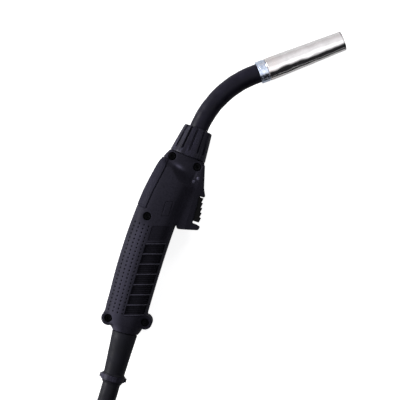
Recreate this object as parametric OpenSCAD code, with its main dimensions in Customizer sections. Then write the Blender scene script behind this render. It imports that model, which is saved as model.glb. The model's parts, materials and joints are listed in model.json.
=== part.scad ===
// MIG welding torch: swan neck, moulded handle with trigger, power cable in a coil, and machine plug.
// It lies on its side. X runs along the grip towards the neck, Y towards the spine, Z up.
// Shapes are drawn about the torch's own plane of symmetry at z = 0, and then lifted onto the floor.

/* [Handle] */
// Half of the grip's thickness
grip_half_t = 18.5; // [18:0.5:19.5]
// Wall of the two moulded shells
shell_wall = 2.6; // [2.4:0.1:2.8]
// Half of the trigger housing's thickness
housing_half_t = 12; // [11.5:0.5:12.5]
// How deep the ribbed grip panel is sunk
panel_depth = 1.2; // [0.8:0.1:1.4]
// Number of bold ribs across the grip panel
panel_ribs = 8; // [6:1:8]

/* [Trigger] */
// Width of the trigger lever
lever_w = 13.8; // [12:0.2:14]
// How far the lever turns from rest to fully pressed, in degrees
trigger_travel = 8; // [6:1:8]
// Number of finger teeth on the lever
teeth = 5; // [4:1:6]

/* [Neck] */
// Outer diameter of the insulating sleeve
sleeve_d = 18.2; // [17.6:0.2:18.4]
// Outer diameter of the copper neck tube
neck_tube_d = 12; // [11:0.5:13]
// Radius of the neck's bend
bend_r = 92; // [86:1:98]
// Angle of the neck's bend
bend_angle = 47; // [40:1:50]
// Length of the tapered lock nut
nut_len = 27.6; // [26:0.2:28]
// Diameter of the lock nut where it meets the handle
nut_base_d = 35.4; // [35:0.2:36]
// Diameter of the lock nut at its front edge
nut_front_d = 27.6; // [27:0.2:29]
// Number of ribs around the lock nut
nut_ribs = 14; // [10:1:16]

/* [Nozzle] */
// Length of the gas nozzle
nozzle_len = 77; // [74:1:80]
// Outer diameter of the gas nozzle at its rear
nozzle_rear_d = 22; // [21.6:0.2:22.4]
// Outer diameter of the gas nozzle at its mouth
nozzle_front_d = 19; // [18.8:0.2:20]
// Wall of the gas nozzle at its mouth
nozzle_wall = 1.6; // [1.4:0.1:2]
// Wire bore of the contact tip
wire_bore_d = 1.4; // [1:0.1:1.8]

/* [Cable] */
// Outer diameter of the power cable
cable_d = 17; // [16:0.5:17]
// Radius of the coil's outer turns, to the middle of the cable
coil_outer_r = 100.5; // [98:0.5:102]

/* [Machine plug] */
// Diameter of the brass plug that goes into the machine's socket
plug_d = 16; // [15:0.5:17]
// Outer diameter of the union nut
union_d = 46; // [44:1:48]

/* [Hidden] */
$fn = 72;

// ---- main lines of the torch, in its own plane ----
nut_base = [164.5, -6.8];
neck_heading = -5;
nozzle_heading = neck_heading - bend_angle;
straight_len = 28;
neck_front_len = 5;
collar_len = 9;
boot_base = [-12, 1.2];
boot_heading = 2.2;
boot_len = 50;

function dir(h) = [cos(h), sin(h)];
function unit(v) = v / norm(v);
function neck_at(s) = nut_base + s * dir(neck_heading);

bend_start = neck_at(straight_len);
bend_centre = bend_start + bend_r * [sin(neck_heading), -cos(neck_heading)];
bend_end = bend_centre + bend_r * [-sin(nozzle_heading), cos(nozzle_heading)];
collar_base = bend_end + neck_front_len * dir(nozzle_heading);
nozzle_base = collar_base + collar_len * dir(nozzle_heading);
nozzle_tip = nozzle_base + nozzle_len * dir(nozzle_heading);

collar_half_t = 13;

// ---- handle outline: x, y, heading of the cross-section, half width, half thickness, squareness ----
SECTIONS = [
    [-12, 1.2, 3, 12.4, 12.4, 2.0],
    [-8, 2.4, 2, 15.2, 14.8, 2.1],
    [-3, 4.6, 1, 18.6, 17.2, 2.3],
    [5, 5.6, 0, 20.1, grip_half_t, 2.5],
    [20, 6.0, 0, 20.2, grip_half_t, 2.6],
    [45, 6.6, 0, 20.6, grip_half_t, 2.6],
    [75, 6.4, -1, 20.7, grip_half_t, 2.6],
    [100, 5.2, -4, 20.5, grip_half_t, 2.6],
    [120, 3.2, -8, 20.5, grip_half_t, 2.6],
    [136, 0.4, -11, 20.4, grip_half_t, 2.6],
    [147, -1.9, -11, 20.2, grip_half_t, 2.8],
    [153, -3.7, -9, 19.8, collar_half_t + 0.8, 3.6],
    [159, -5.3, -7, 18.9, collar_half_t, 4],
    [164.5, -6.8, -5, 17.7, collar_half_t, 4]];
crown = 1.06;

arc_steps = 16;

// ---- where the screws go: x, y, seat height, surface height, low boss radius ----
SCREWS = [
    [160.3, 6.6, 9.2, 10.3, 3.3],
    [157.2, -18.8, 9.4, 11.5, 3.3],
    [99.5, 12.5, 14.6, 16.6, 4],
    [-2.6, 19.6, 9.6, 12.5, 6.9],
    [3.2, -14.4, 9.6, 12.5, 6.7]];
screw_r = 1.75;
head_r = 3.4;
recess_r = 3.9;
nut_corner_r = 4.0;
screw_nut_t = 3;

// ---- trigger mechanism ----
pivot = [137, -24.5];
pin_r = 1.5;
boss_r = 4.4;
cavity_half_t = 9;
slot_half_t = 7.5;
switch_x = 119;
switch_face_y = -23.3;
press_arm = pivot.x - switch_x;
plunger_tip_y = switch_face_y - press_arm * sin(trigger_travel) - 0.5;
pad_y = plunger_tip_y - 0.25;

spigot_r = 12.4;
spigot_len = 15;
insulator_r = 9.2;
boot_bore_r = 8.7;
groove_w = 1.8;
strap_w = 16;
plunger_r = 1.4;
pin_half_len = 10.8;
switch_hole_y = -18.3;
plug_shoulder = 94;
LEVER_TOP = [131.0, -32.2];
LEVER_END = [107.8, -36.0];
lever_line = unit(LEVER_END - LEVER_TOP);
tooth_normal = [-lever_line.y, lever_line.x];

// ---- cable route past the boot: x, y, height of its middle above the floor ----
cable_r = cable_d / 2;
strap_t = 1.6;
coil_centre = [-255, -82];
coil_inner_r = coil_outer_r - cable_d;
coil_floor = strap_t;
coil_top = coil_floor + 2 * cable_d;
// The part turns, beside the ring below and on top of it: where each starts, and how far round it goes
low_turn = [90, 290];
top_turn = [-6, 276];
strap_places = [42, 170];
// Corners of the coil's outline under a strap: place of the turn's middle, then the arc round it
STRAP_ARCS = [
    [coil_inner_r, coil_floor + cable_r, 180, 270], [coil_outer_r, coil_floor + cable_r, 270, 360],
    [coil_outer_r, coil_top + cable_r, 0, 135], [coil_inner_r, coil_top - cable_r, 135, 180]];
RUN = [
    [-62, -0.7, 18.5], [-75, -0.9, 18.2], [-92, -0.6, 16.2], [-111, 0.5, 12.7], [-131, 2.7, 10],
    [-153, 6.2, 8.8], [-177, 10.6, 8.7], [-202, 14.8, 9.1], [-225, 17.4, 9.8], [-242, 18.4, 10.1],
    [-255, 18.5, 10.1]];
END = [
    [-255, -182.5, 44.1], [-244, -182.5, 44.2], [-233, -182.5, 44.2], [-222, -182.4, 43.5],
    [-210, -182.1, 41.1], [-197, -181.5, 36.8], [-184, -180.6, 31.8], [-170, -179.7, 27],
    [-157, -179.2, 23.9], [-145, -179, 23]];
INNER = [
    [56, 2.7, 0], [44, 3.2, 0], [28, 3.0, 0], [8, 2.1, 0], [-12, 1.2, 0], [-38, 0.2, 0],
    [-61.8, -0.7, 0]];
LEAD = [
    [104, -16.2, 0], [102.4, -12.8, 0], [99.8, -10.2, 0], [95, -9.3, 0], [86, -9.0, 0], [75, -8.5, 0],
    [67, -7.9, 0], [61, -6.0, 0], [56.4, -4.4, 0]];

// ---- machine plug: it lies beside the coil with its axis along X ----
union_r = union_d / 2;
plug_r = plug_d / 2;
plug_start = [-145, -179, union_r];
boot_end = 26;
housing_end = 66;
union_end = 92;
plug_groove = 106;
plug_end = 112;
control_pin_y = 12.4;
control_pin_travel = 4;

// ---- the origin is under the middle of the torch's own box ----
spine_y = 27.2;
front_x = nozzle_tip.x - nozzle_front_d / 2 * sin(nozzle_heading);
front_y = nozzle_tip.y - nozzle_front_d / 2 * cos(nozzle_heading);
rear_x = boot_base.x - boot_len * cos(boot_heading);
middle = [(front_x + rear_x) / 2, (spine_y + front_y) / 2];

module torch_plane() { translate([-middle.x, -middle.y, grip_half_t]) children(); }
module floor_plane() { translate([-middle.x, -middle.y, 0]) children(); }

// These put local Z along a heading in the torch's plane, from a named point
module at(p, h) { translate([p.x, p.y, 0]) rotate([0, 0, h]) rotate([0, 90, 0]) children(); }
module neck() { at(nut_base, neck_heading) children(); }
module nozzle() { at(nozzle_base, nozzle_heading) children(); }
module boot() { at(boot_base, boot_heading) children(); }
module plug() { translate(plug_start) rotate([0, 90, 0]) children(); }

module rod(z0, z1, r) { translate([0, 0, z0]) cylinder(r = r, h = z1 - z0); }
module cone(z0, z1, r0, r1) { translate([0, 0, z0]) cylinder(r1 = r0, r2 = r1, h = z1 - z0); }
module ring(z0, z1, r_out, r_in) {
    difference() {
        rod(z0, z1, r_out);
        rod(z0 - 1, z1 + 1, r_in);
    }
}

// Straight, bend and straight, from s0 behind the bend to s1 past the nozzle's seat.
// Hairline joints keep each of the three lengths an exact cylinder or torus.
module neck_pipe(s0, s1, r_out, r_in) {
    neck() ring(s0, straight_len - 0.01, r_out, r_in);
    translate([bend_centre.x, bend_centre.y, 0]) rotate([0, 0, nozzle_heading + 90])
        rotate_extrude(angle = bend_angle) translate([bend_r, 0]) difference() {
            circle(r = r_out);
            circle(r = r_in);
        }
    nozzle() ring(0.01 - neck_front_len - collar_len, s1, r_out, r_in);
}

// ---- outlines with rounded corners: each point is x, y, corner radius ----
function flat(p) = [p.x, p.y];
function turn_to(a, b) = let (d = b - a) d > 180 ? d - 360 : d < -180 ? d + 360 : d;
function corner(a, b, c, r, n) =
    let (v = unit(a - b), w = unit(c - b), half = acos(v * w) / 2)
    let (centre = b + unit(v + w) * r / sin(half), reach = r / tan(half))
    let (p = b + v * reach - centre, q = b + w * reach - centre)
    let (from = atan2(p.y, p.x), sweep = turn_to(from, atan2(q.y, q.x)))
    [for (k = [0 : n]) centre + r * dir(from + sweep * k / n)];
function rounded(pts, n = 5) =
    [for (i = [0 : len(pts) - 1])
        let (a = pts[(i + len(pts) - 1) % len(pts)], c = pts[(i + 1) % len(pts)])
        each (pts[i][2] > 0 ? corner(flat(a), flat(pts[i]), flat(c), pts[i][2], n) : [flat(pts[i])])];

// ---- smooth curves through hand-chosen rows ----
function blend4(a, b, c, d, t) =
    0.5 * (2 * b + (c - a) * t + (2 * a - 5 * b + 4 * c - d) * t * t
        + (3 * b - a - 3 * c + d) * t * t * t);
function smooth(rows, steps) =
    let (n = len(rows) - 1)
    concat([for (i = [0 : n - 1]) for (k = [0 : steps - 1])
        blend4(rows[max(i - 1, 0)], rows[i], rows[i + 1], rows[min(i + 2, n)], k / steps)],
        [rows[n]]);

// ---- round tube along a route ----
function tangent(p, i) = unit(p[min(i + 1, len(p) - 1)] - p[max(i - 1, 0)]);
module tube(route, r, sides) {
    last = len(route) - 1;
    points = [for (i = [0 : last])
        let (t = tangent(route, i), a = unit(cross([0, 0, 1], t)), b = cross(t, a))
        for (k = [0 : sides - 1])
            let (w = 360 * k / sides) route[i] + r * (cos(w) * a + sin(w) * b)];
    walls = [for (i = [0 : last - 1]) for (k = [0 : sides - 1])
        let (n = (k + 1) % sides)
        [i * sides + k, (i + 1) * sides + k, (i + 1) * sides + n, i * sides + n]];
    ends = [[for (k = [0 : sides - 1]) k], [for (k = [sides - 1 : -1 : 0]) last * sides + k]];
    polyhedron(points, concat(walls, ends), convexity = 6);
}

// ---- a closed wall between two grids of points, each of them rows long and row points wide ----
module grid_wall(outer, inner, row) {
    rows = len(outer) / row;
    n = len(outer);
    cells = [for (i = [0 : rows - 2]) for (j = [0 : row - 2]) i * row + j];
    outside = [for (c = cells) each [[c, c + row, c + row + 1], [c, c + row + 1, c + 1]]];
    inside = [for (c = cells) let (b = c + n) each [[b, b + row + 1, b + row], [b, b + 1, b + row + 1]]];
    sides = [for (i = [0 : rows - 2])
        let (a = i * row, b = a + n, e = a + row - 1, f = e + n)
        each [[a, b, b + row], [a, b + row, a + row], [e, e + row, f + row], [e, f + row, f]]];
    ends = [for (j = [0 : row - 2])
        let (a = j, b = a + n, e = (rows - 1) * row + j, f = e + n)
        each [[a, a + 1, b + 1], [a, b + 1, b], [e, f, f + 1], [e, f + 1, e + 1]]];
    polyhedron(concat(outer, inner), concat(outside, inside, sides, ends), convexity = 8);
}

// ---- handle skin: a point on a section, at angle t from the spine, moved out by d ----
function lobe(c, e) = sign(c) * pow(abs(c), 2 / e);
function skin(s, t, d) =
    let (w = (s[3] + d) * lobe(cos(t), s[5]))
    let (z = (s[4] + d) * max(-1, min(1, crown * lobe(sin(t), s[5]))))
    [s.x - sin(s.z) * w, s.y + cos(s.z) * w, z];
function skin_grid(sections, t0, t1, steps, d) =
    [for (s = sections) for (j = [0 : steps]) skin(s, t0 + (t1 - t0) * j / steps, d)];
module skin_wall(sections, t0, t1, steps, d_out, d_in) {
    grid_wall(skin_grid(sections, t0, t1, steps, d_out),
        skin_grid(sections, t0, t1, steps, d_in), steps + 1);
}

handle_sections = [for (s = smooth(SECTIONS, 2))
    [s.x, s.y, s.z, s[3], min(s[4], grip_half_t), s[5]]];
function column(k) = [for (s = handle_sections) [s.x, s[k]]];
function section_at(x) = [x, for (k = [1 : 5]) lookup(x, column(k))];
function stretch(x0, x1) =
    concat([section_at(x0)], [for (s = handle_sections) if (s.x > x0 + 1.5 && s.x < x1 - 1.5) s],
        [section_at(x1)]);

// ---- trigger housing, seen from the side ----
housing_root = [for (s = stretch(94, 158)) let (w = s[3] - 3.4) [s.x + sin(s.z) * w, s.y - cos(s.z) * w]];
HOUSING_FRONT = [
    [160.6, -24.3, 1.5], [140, -30.8, 6], [133.2, -34.0, 0.7], [131.7, -33.2, 0.5], [131.7, -28.6, 0.5],
    [105.3, -29.8, 0.6], [105.3, -33.0, 0.8], [104.2, -37.6, 0.8], [100.6, -37.0, 2], [98.4, -28, 10],
    [95.6, -15.6, 2.5]];
HOUSING_CAVITY = [
    [152, -5, 1], [152, -22.6, 1.5], [140.5, -27.6, 4], [136, -30.4, 2], [131, -30.6, 0.5],
    [131, -27.2, 0.5], [107, -27.4, 1.5], [101.8, -25.5, 1.5], [99.6, -6, 1]];
SLOT = [[131.7, -45], [131.7, -24], [106.2, -24], [106.2, -45]];

// ---- the sunk panel on the side of the grip and its ribs lean with the hand ----
panel_lean = 17;
panel_rear = 3.6;
panel_pitch = 10.2;
panel_margin = 4.6;
panel_y = [-11.2, 4.6];
panel_steps = 7;
rib_w = 1.2;
function side_z(x, y) =
    let (s = section_at(x), u = min(0.999, abs(y - s.y) / s[3]))
    s[4] * min(1, crown * pow(1 - pow(u, s[5]), 1 / s[5]));
function side_grid(x0, x1, y0, y1, nx, up) =
    [for (i = [0 : nx]) for (j = [0 : panel_steps])
        let (y = y1 + (y0 - y1) * j / panel_steps)
        let (x = x0 + (x1 - x0) * i / nx + (panel_y[1] - y) * tan(panel_lean))
        [x, y, side_z(x, y) + up]];
module side_patch(x0, x1, y0, y1, nx, up, down) {
    grid_wall(side_grid(x0, x1, y0, y1, nx, up), side_grid(x0, x1, y0, y1, nx, -down), panel_steps + 1);
}

module grip_panel_pocket() {
    side_patch(panel_rear - panel_margin, panel_rear + panel_pitch * (panel_ribs - 1) + panel_margin,
        panel_y[0], panel_y[1], 6, 1.5, panel_depth);
}

module grip_panel_ribs() {
    for (i = [0 : panel_ribs - 1])
        let (x = panel_rear + panel_pitch * i)
        side_patch(x - rib_w / 2, x + rib_w / 2, panel_y[0] - 0.4, panel_y[1] + 0.4, 1,
            -0.15, panel_depth + 0.5);
}

// ---- handle shells ----
module screw_boss(s) {
    translate([s.x, s.y, 0]) cylinder(r = s[4], h = s.z);
    translate([s.x, s.y, s.z - 2.2]) cylinder(r = max(4.9, s[4]), h = s[3] - s.z + 2.2);
}

module upper_half() {
    intersection() {
        children();
        translate([-100, -100, 0]) cube([400, 200, 60]);
    }
}

// Split collar that the lock nut squeezes, and the bulkheads behind it
module neck_grip() {
    neck() {
        ring(-2.6, spigot_len, spigot_r, sleeve_d / 2 + 0.02);
        ring(-11, -8, 11.2, sleeve_d / 2 + 0.02);
    }
}

module switch_posts() {
    for (x = [-4.75, 4.75]) translate([switch_x + x, switch_hole_y, 0]) {
        translate([0, 0, 3.3]) cylinder(r = 2.2, h = 6, $fn = 32);
        translate([0, 0, 0.4]) cylinder(r = 1, h = 4, $fn = 32);
    }
}

module pin_bosses() { translate([pivot.x, pivot.y, 7.2]) cylinder(r = 3.4, h = 3); }

module housing_and_skin() {
    difference() {
        union() {
            skin_wall(handle_sections, 0, 180, arc_steps, 0, -shell_wall);
            linear_extrude(housing_half_t) polygon(concat(housing_root, rounded(HOUSING_FRONT)));
        }
        translate([0, 0, -1]) linear_extrude(cavity_half_t + 1) polygon(rounded(HOUSING_CAVITY));
        translate([0, 0, -1]) linear_extrude(slot_half_t + 1) polygon(SLOT);
    }
}

module shell_half(nut_side) {
    difference() {
        union() {
            housing_and_skin();
            for (s = SCREWS) screw_boss(s);
            upper_half() neck_grip();
            switch_posts();
            pin_bosses();
        }
        for (s = SCREWS) translate([s.x, s.y, 0]) {
            translate([0, 0, -1]) cylinder(r = screw_r + 0.1, h = 40, $fn = 32);
            translate([0, 0, s.z]) cylinder(r = nut_side ? nut_corner_r + 0.1 : recess_r, h = 20,
                $fn = nut_side ? 6 : 48);
        }
        translate([pivot.x, pivot.y, -1]) cylinder(r = pin_r + 0.01, h = pin_half_len + 1.2);
        neck() rod(-30, 40, sleeve_d / 2 + 0.02);
        inlay_pocket();
        grip_panel_pocket();
    }
    grip_panel_ribs();
}

module handle_shell_left() { color("#232327") torch_plane() shell_half(false); }
module handle_shell_right() { color("#1d1d20") torch_plane() mirror([0, 0, 1]) shell_half(true); }

// Strip let into the handle's back, over the joint between the shells
module inlay_pocket() { skin_wall(stretch(105, 155), -6, 55, 9, 1.2, -1.25); }
module spine_inlay() {
    color("#34343b") torch_plane() skin_wall(stretch(105.4, 154.6), -54, 54, 14, 0.35, -1.2);
}

module handle_screws() {
    color("#17171a") torch_plane() for (s = SCREWS) translate([s.x, s.y, 0]) {
        rod(s.z, s.z + 2.3, head_r);
        rod(-s.z - screw_nut_t, s.z, screw_r);
    }
}

module handle_nuts() {
    color("#8c8f94") torch_plane() for (s = SCREWS) translate([s.x, s.y, -s.z - screw_nut_t]) difference() {
        cylinder(r = nut_corner_r, h = screw_nut_t, $fn = 6);
        translate([0, 0, -1]) cylinder(r = screw_r + 0.02, h = screw_nut_t + 2);
    }
}

// ---- trigger ----
function tooth_line(k, out) = LEVER_TOP + (LEVER_END - LEVER_TOP) * k / teeth + out * tooth_normal;
lever_teeth = [for (k = [0 : teeth - 1]) each [tooth_line(k + 0.08, 0.9), tooth_line(k + 0.92, -0.5)]];
LEVER_BACK = [
    [107.7, -35.2], [107.7, -29], [109.5, -27.9], [114.5, -27.6], [115.5, pad_y], [122.5, pad_y],
    [123.5, -27.4], [129, -26.4], [134.8, -20.8]];
LEVER_FRONT = [[137, -28.9], [133.4, -28.5], [131.1, -29.8]];

module trigger_lever() {
    color("#111113") torch_plane() difference() {
        translate([0, 0, -lever_w / 2]) {
            linear_extrude(lever_w) polygon(concat(LEVER_FRONT, lever_teeth, LEVER_BACK));
            translate(pivot) cylinder(r = boss_r, h = lever_w);
        }
        translate([pivot.x, pivot.y, -20]) cylinder(r = pin_r + 0.05, h = 40);
        // Slot round the pivot for the spring, and hollows either side of the switch pad
        translate([pivot.x - 6, pivot.y - 6, -2.4]) cube([16, 16, 4.8]);
        translate([109.4, -32.5, -lever_w / 2 + 2]) cube([5, 12, lever_w - 4]);
        translate([124, -30.5, -lever_w / 2 + 2]) cube([5, 12, lever_w - 4]);
    }
}

module trigger_pin() {
    color("#b9bbc0") torch_plane() translate([pivot.x, pivot.y, 0]) rod(-pin_half_len, pin_half_len, pin_r);
}

module trigger_spring() {
    color("#a9abb0") torch_plane() translate([pivot.x, pivot.y, 0]) {
        difference() {
            ring(-1.8, 1.8, 3.1, 2.1);
            for (z = [-0.7, 0.5]) ring(z, z + 0.2, 4, 2.8);
        }
        translate([0, 2.6, -1.3]) rotate([0, 90, 205]) cylinder(r = 0.5, h = 5.6, $fn = 24);
        translate([0, -2.6, 1.3]) rotate([0, 90, 12]) cylinder(r = 0.5, h = 6.3, $fn = 24);
    }
}

module switch_body() {
    color("#2a2a2e") torch_plane() difference() {
        translate([switch_x - 10, switch_face_y, -3.2]) cube([20, 10, 6.4]);
        for (x = [-4.75, 4.75]) translate([switch_x + x, switch_hole_y, -5])
            cylinder(r = 1.1, h = 10, $fn = 32);
        translate([switch_x, switch_face_y - 1, 0]) rotate([-90, 0, 0])
            cylinder(r = plunger_r + 0.05, h = 9);
    }
}

module switch_plunger() {
    color("#c23b2e") torch_plane() translate([switch_x, plunger_tip_y, 0]) rotate([-90, 0, 0])
        cylinder(r = plunger_r, h = 7);
}

module switch_terminals() {
    color("#c9b26a") torch_plane() for (y = [-20.4, -16.2])
        translate([switch_x - 15, y - 0.3, -1.6]) cube([5, 0.6, 3.2]);
}

module switch_leads() {
    color("#3d3f44") torch_plane() for (z = [-2.6, 2.6]) translate([0, 0, z]) tube(smooth(LEAD, 2), 0.9, 8);
}

// ---- neck ----
module neck_tube() { color("#b87a4b") torch_plane() neck_pipe(-31, 8, neck_tube_d / 2, 4); }
module neck_sleeve() {
    color("#1b1b1f") torch_plane()
        neck_pipe(-12, -collar_len + 1.9, sleeve_d / 2, neck_tube_d / 2 + 0.02);
}
module wire_liner() { color("#8a8d92") torch_plane() neck_pipe(-57, 12, 2.3, 1.1); }

nut_slope = atan((nut_base_d - nut_front_d) / 2 / nut_len);
module nut_groove() {
    translate([nut_base_d / 2 - 1.7 - 5 * tan(nut_slope), -groove_w / 2, 5])
        rotate([0, -nut_slope, 0]) cube([6, groove_w, 40]);
}

module neck_lock_nut() {
    color("#1f1f23") torch_plane() neck() difference() {
        cone(0.4, 0.4 + nut_len, nut_base_d / 2, nut_front_d / 2);
        rod(-1, spigot_len + 1, spigot_r + 0.25);
        rod(-1, nut_len + 2, sleeve_d / 2 + 0.3);
        rod(nut_len - 1.4, nut_len + 2, nut_front_d / 2 - 2.6);
        for (i = [0 : nut_ribs - 1]) rotate([0, 0, 360 * (i + 0.5) / nut_ribs]) nut_groove();
    }
}

module neck_block() {
    color("#c2a05a") torch_plane() neck() difference() {
        union() {
            translate([0, 0, -34]) cylinder(r = 10.2, h = 17, $fn = 6);
            rod(-17, -12.4, 8.4);
        }
        rod(-31, 0, neck_tube_d / 2);
        rod(-40, -30, 2.6);
        // Cross hole for the clamping screw
        translate([0, 0, -25]) rotate([0, 90, 0]) cylinder(r = 1.6, h = 12, $fn = 32);
    }
}

module cable_nut() {
    color("#c8a862") torch_plane() neck() difference() {
        translate([0, 0, -46]) cylinder(r = 10.4, h = 11.8, $fn = 6);
        rod(-47, -30, 5.02);
    }
}

module cable_ferrule() {
    color("#b5713f") torch_plane() neck() {
        ring(-58, -34.2, 5, 2.6);
        ring(-60, -46.2, 7.2, 2.6);
        ring(-100, -59.9, 7.2, 5.02);
    }
}

module cable_conductor() { color("#a8623a") torch_plane() neck() rod(-109, -60.2, 5); }

// ---- nozzle end ----
module nozzle_collar() {
    color("#aeb9c9") torch_plane() nozzle() difference() {
        rod(-collar_len, 0, 10.9);
        rod(-collar_len - 1, -collar_len + 2, sleeve_d / 2 + 0.03);
        rod(-20, 5, neck_tube_d / 2 + 0.02);
    }
}

module gas_nozzle() {
    rear_r = nozzle_rear_d / 2;
    front_r = nozzle_front_d / 2;
    bore_r = front_r - nozzle_wall;
    color("#d9d6d0") torch_plane() nozzle() rotate_extrude() polygon([
        [insulator_r + 0.05, 0.1], [rear_r - 0.4, 0.1], [rear_r, 0.6], [rear_r, 9],
        [front_r, nozzle_len - 0.8], [front_r - 0.5, nozzle_len], [bore_r + 0.4, nozzle_len],
        [bore_r, nozzle_len - 0.5], [bore_r, 40],
        [insulator_r - 0.6, 20], [insulator_r + 0.05, 18]]);
}

module nozzle_insulator() {
    color("#6b4a38") torch_plane() nozzle() difference() {
        rod(0.05, 13, insulator_r);
        rod(-1, 8.02, neck_tube_d / 2 + 0.02);
        rod(7, 14, 6.5);
        ring(6.4, 9.6, insulator_r + 1, insulator_r - 1.1);
    }
}

module nozzle_spring() {
    color("#9da1a6") torch_plane() nozzle() difference() {
        ring(6.6, 9.4, insulator_r - 0.02, insulator_r - 1.05);
        translate([4, -1, 0]) cube([8, 2, 12]);
    }
}

module tip_holder() {
    color("#c9a557") torch_plane() nozzle() difference() {
        union() {
            rod(0.4, 8.5, 3.98);
            translate([0, 0, 8]) cylinder(r = 6.3, h = 5.05, $fn = 6);
            rod(13, 36.5, 4.5);
            rod(36, 46, 5.6);
        }
        rod(-1, 12, 2.32);
        rod(11, 37, 1.3);
        rod(36.8, 47, 4.02);
    }
}

module gas_diffuser() {
    color("#e8e2d4") torch_plane() nozzle() difference() {
        ring(13.1, 35.9, 6.8, 4.52);
        for (i = [0 : 7]) rotate([0, 0, 45 * i]) translate([0, 0, 22]) rotate([0, 90, 0])
            cylinder(r = 1, h = 10, $fn = 24);
    }
}

module contact_tip() {
    color("#bf7346") torch_plane() nozzle() difference() {
        union() {
            rod(37, 46.05, 4);
            rod(46.02, 65, 5);
            cone(65, 73.5, 5, 2.8);
        }
        rod(30, 80, wire_bore_d / 2);
        cone(36.9, 42, 1.9, wire_bore_d / 2);
    }
}

// ---- rear of the handle ----
module cable_boot() {
    color("#151518") torch_plane() boot() rotate_extrude() polygon([
        [boot_bore_r, -boot_len], [9.4, -boot_len], [9.7, -48.4], [10.6, -47.8], [10.6, -41.4], [10, -40.4],
        [9.9, -38], [10.4, -24], [11.2, -10], [11.9, -0.7], [9.4, -0.7], [9.4, 5], [10.6, 5], [10.6, 10],
        [boot_bore_r, 10]]);
}

module boot_clamp() {
    color("#202024") torch_plane() boot() difference() {
        union() {
            rod(-47.2, -42.2, 11.6);
            for (a = [0, 180]) rotate([0, 0, a]) translate([-2.2, 8, -46.4]) cube([4.4, 5, 3.4]);
        }
        rod(-60, -30, 10.62);
    }
}

module cable_inner() { color("#1a1a1d") torch_plane() tube(smooth(INNER, 2), cable_r, 12); }

// ---- cable past the boot, its coil, and the straps that hold it ----
module cable_run() { color("#1a1a1d") floor_plane() tube(smooth(RUN, 2), cable_r, 12); }
module cable_end() { color("#1a1a1d") floor_plane() tube(smooth(END, 2), cable_r, 12); }

// Three full turns: the inner two, and the outer one of the upper layer
module coil_section() {
    low = coil_floor + cable_d;
    round_r = cable_r - 0.1;
    polygon(rounded([
        [coil_inner_r - cable_r, coil_floor, round_r], [coil_inner_r + cable_r, coil_floor, round_r],
        [coil_inner_r + cable_r, low, 0.2], [coil_outer_r + cable_r, low, round_r],
        [coil_outer_r + cable_r, coil_top, round_r], [coil_inner_r - cable_r, coil_top, round_r]], 8));
}

// What a strap goes round: those turns and both part turns, with a gap all round
module strap_section(gap) {
    polygon([for (a = STRAP_ARCS) for (k = [0 : 8])
        flat(a) + (cable_r + gap) * dir(a[2] + (a[3] - a[2]) * k / 8)]);
}

module coil_place() { translate([coil_centre.x, coil_centre.y, 0]) floor_plane() children(); }
module cable_coil() {
    color("#1a1a1d") coil_place() {
        rotate_extrude(convexity = 6) coil_section();
        rotate([0, 0, low_turn.x]) rotate_extrude(angle = low_turn.y, convexity = 6)
            translate([coil_outer_r, coil_floor]) {
                translate([0, cable_r]) circle(r = cable_r);
                translate([-cable_r - 1, 5]) square([cable_r + 3, cable_d - 3]);
            }
        rotate([0, 0, low_turn.x + low_turn.y]) translate([coil_outer_r, 0, coil_floor + cable_r])
            sphere(r = cable_r - 0.02);
        rotate([0, 0, top_turn.x]) rotate_extrude(angle = top_turn.y, convexity = 6)
            translate([coil_outer_r, 0]) {
                translate([0, coil_top + cable_r]) circle(r = cable_r);
                translate([-4, coil_top - 3]) square([8, 5]);
            }
        rotate([0, 0, top_turn.x]) translate([coil_outer_r, 0, coil_top + cable_r]) sphere(r = cable_r);
    }
}

module cable_straps() {
    color("#26262b") coil_place() for (a = strap_places) rotate([0, 0, a]) rotate([90, 0, 0])
        translate([0, 0, -strap_w / 2]) linear_extrude(strap_w) difference() {
            strap_section(strap_t);
            strap_section(0.6);
        }
}

// ---- machine plug ----
module plug_boot() {
    color("#18181b") floor_plane() plug() rotate_extrude() polygon([
        [0, 0], [9.6, 0], [9.8, 3], [11, 3.4], [11, 6.4], [10, 6.8], [10.3, 10], [11.6, 10.4], [11.6, 13.4],
        [10.6, 13.8], [10.9, 17], [12.4, 17.4], [12.4, 20.4], [11.4, 20.8], [12, boot_end], [0, boot_end]]);
}

module plug_housing() {
    color("#222226") floor_plane() plug() difference() {
        union() {
            rotate_extrude() polygon([
                [0, boot_end], [13.6, boot_end], [14.6, 28], [16.6, 36], [16.2, 46], [17.6, 58],
                [17.6, housing_end], [15.2, housing_end], [15.2, 84], [0, 84]]);
            rod(76.4, 80, 18.4);
        }
        // Finger flats either side, the bore for the brass plug, and the control pins' bores
        for (s = [-1, 1]) translate([-30, s * 21 - 5, 34]) cube([60, 10, 18]);
        rod(60, 90, plug_r + 0.02);
        for (s = [-1, 1]) translate([0, s * control_pin_y, 74 - control_pin_travel])
            cylinder(r = 1.95, h = 20);
        for (z = [32, 56]) translate([0, 0, z]) rotate([0, -90, 0]) translate([0, 0, 13])
            cylinder(r = 2.2, h = 10, $fn = 32);
    }
}

module plug_housing_screws() {
    color("#85888d") floor_plane() plug() for (z = [32, 56])
        translate([0, 0, z]) rotate([0, -90, 0]) translate([0, 0, 13]) cylinder(r = 2.15, h = 1.2, $fn = 32);
}

module union_nut() {
    color("#1c1c20") floor_plane() plug() difference() {
        union() {
            rod(housing_end + 0.4, union_end, union_r - 1);
            intersection() {
                rod(housing_end + 2, union_end - 3, union_r);
                for (i = [0 : 11]) rotate([0, 0, 30 * i])
                    translate([union_r - 3, -3.2, housing_end]) cube([5, 6.4, union_end - housing_end]);
            }
        }
        rod(60, 76, 15.5);
        rod(75.6, 100, union_r - 3.6);
    }
}

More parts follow.
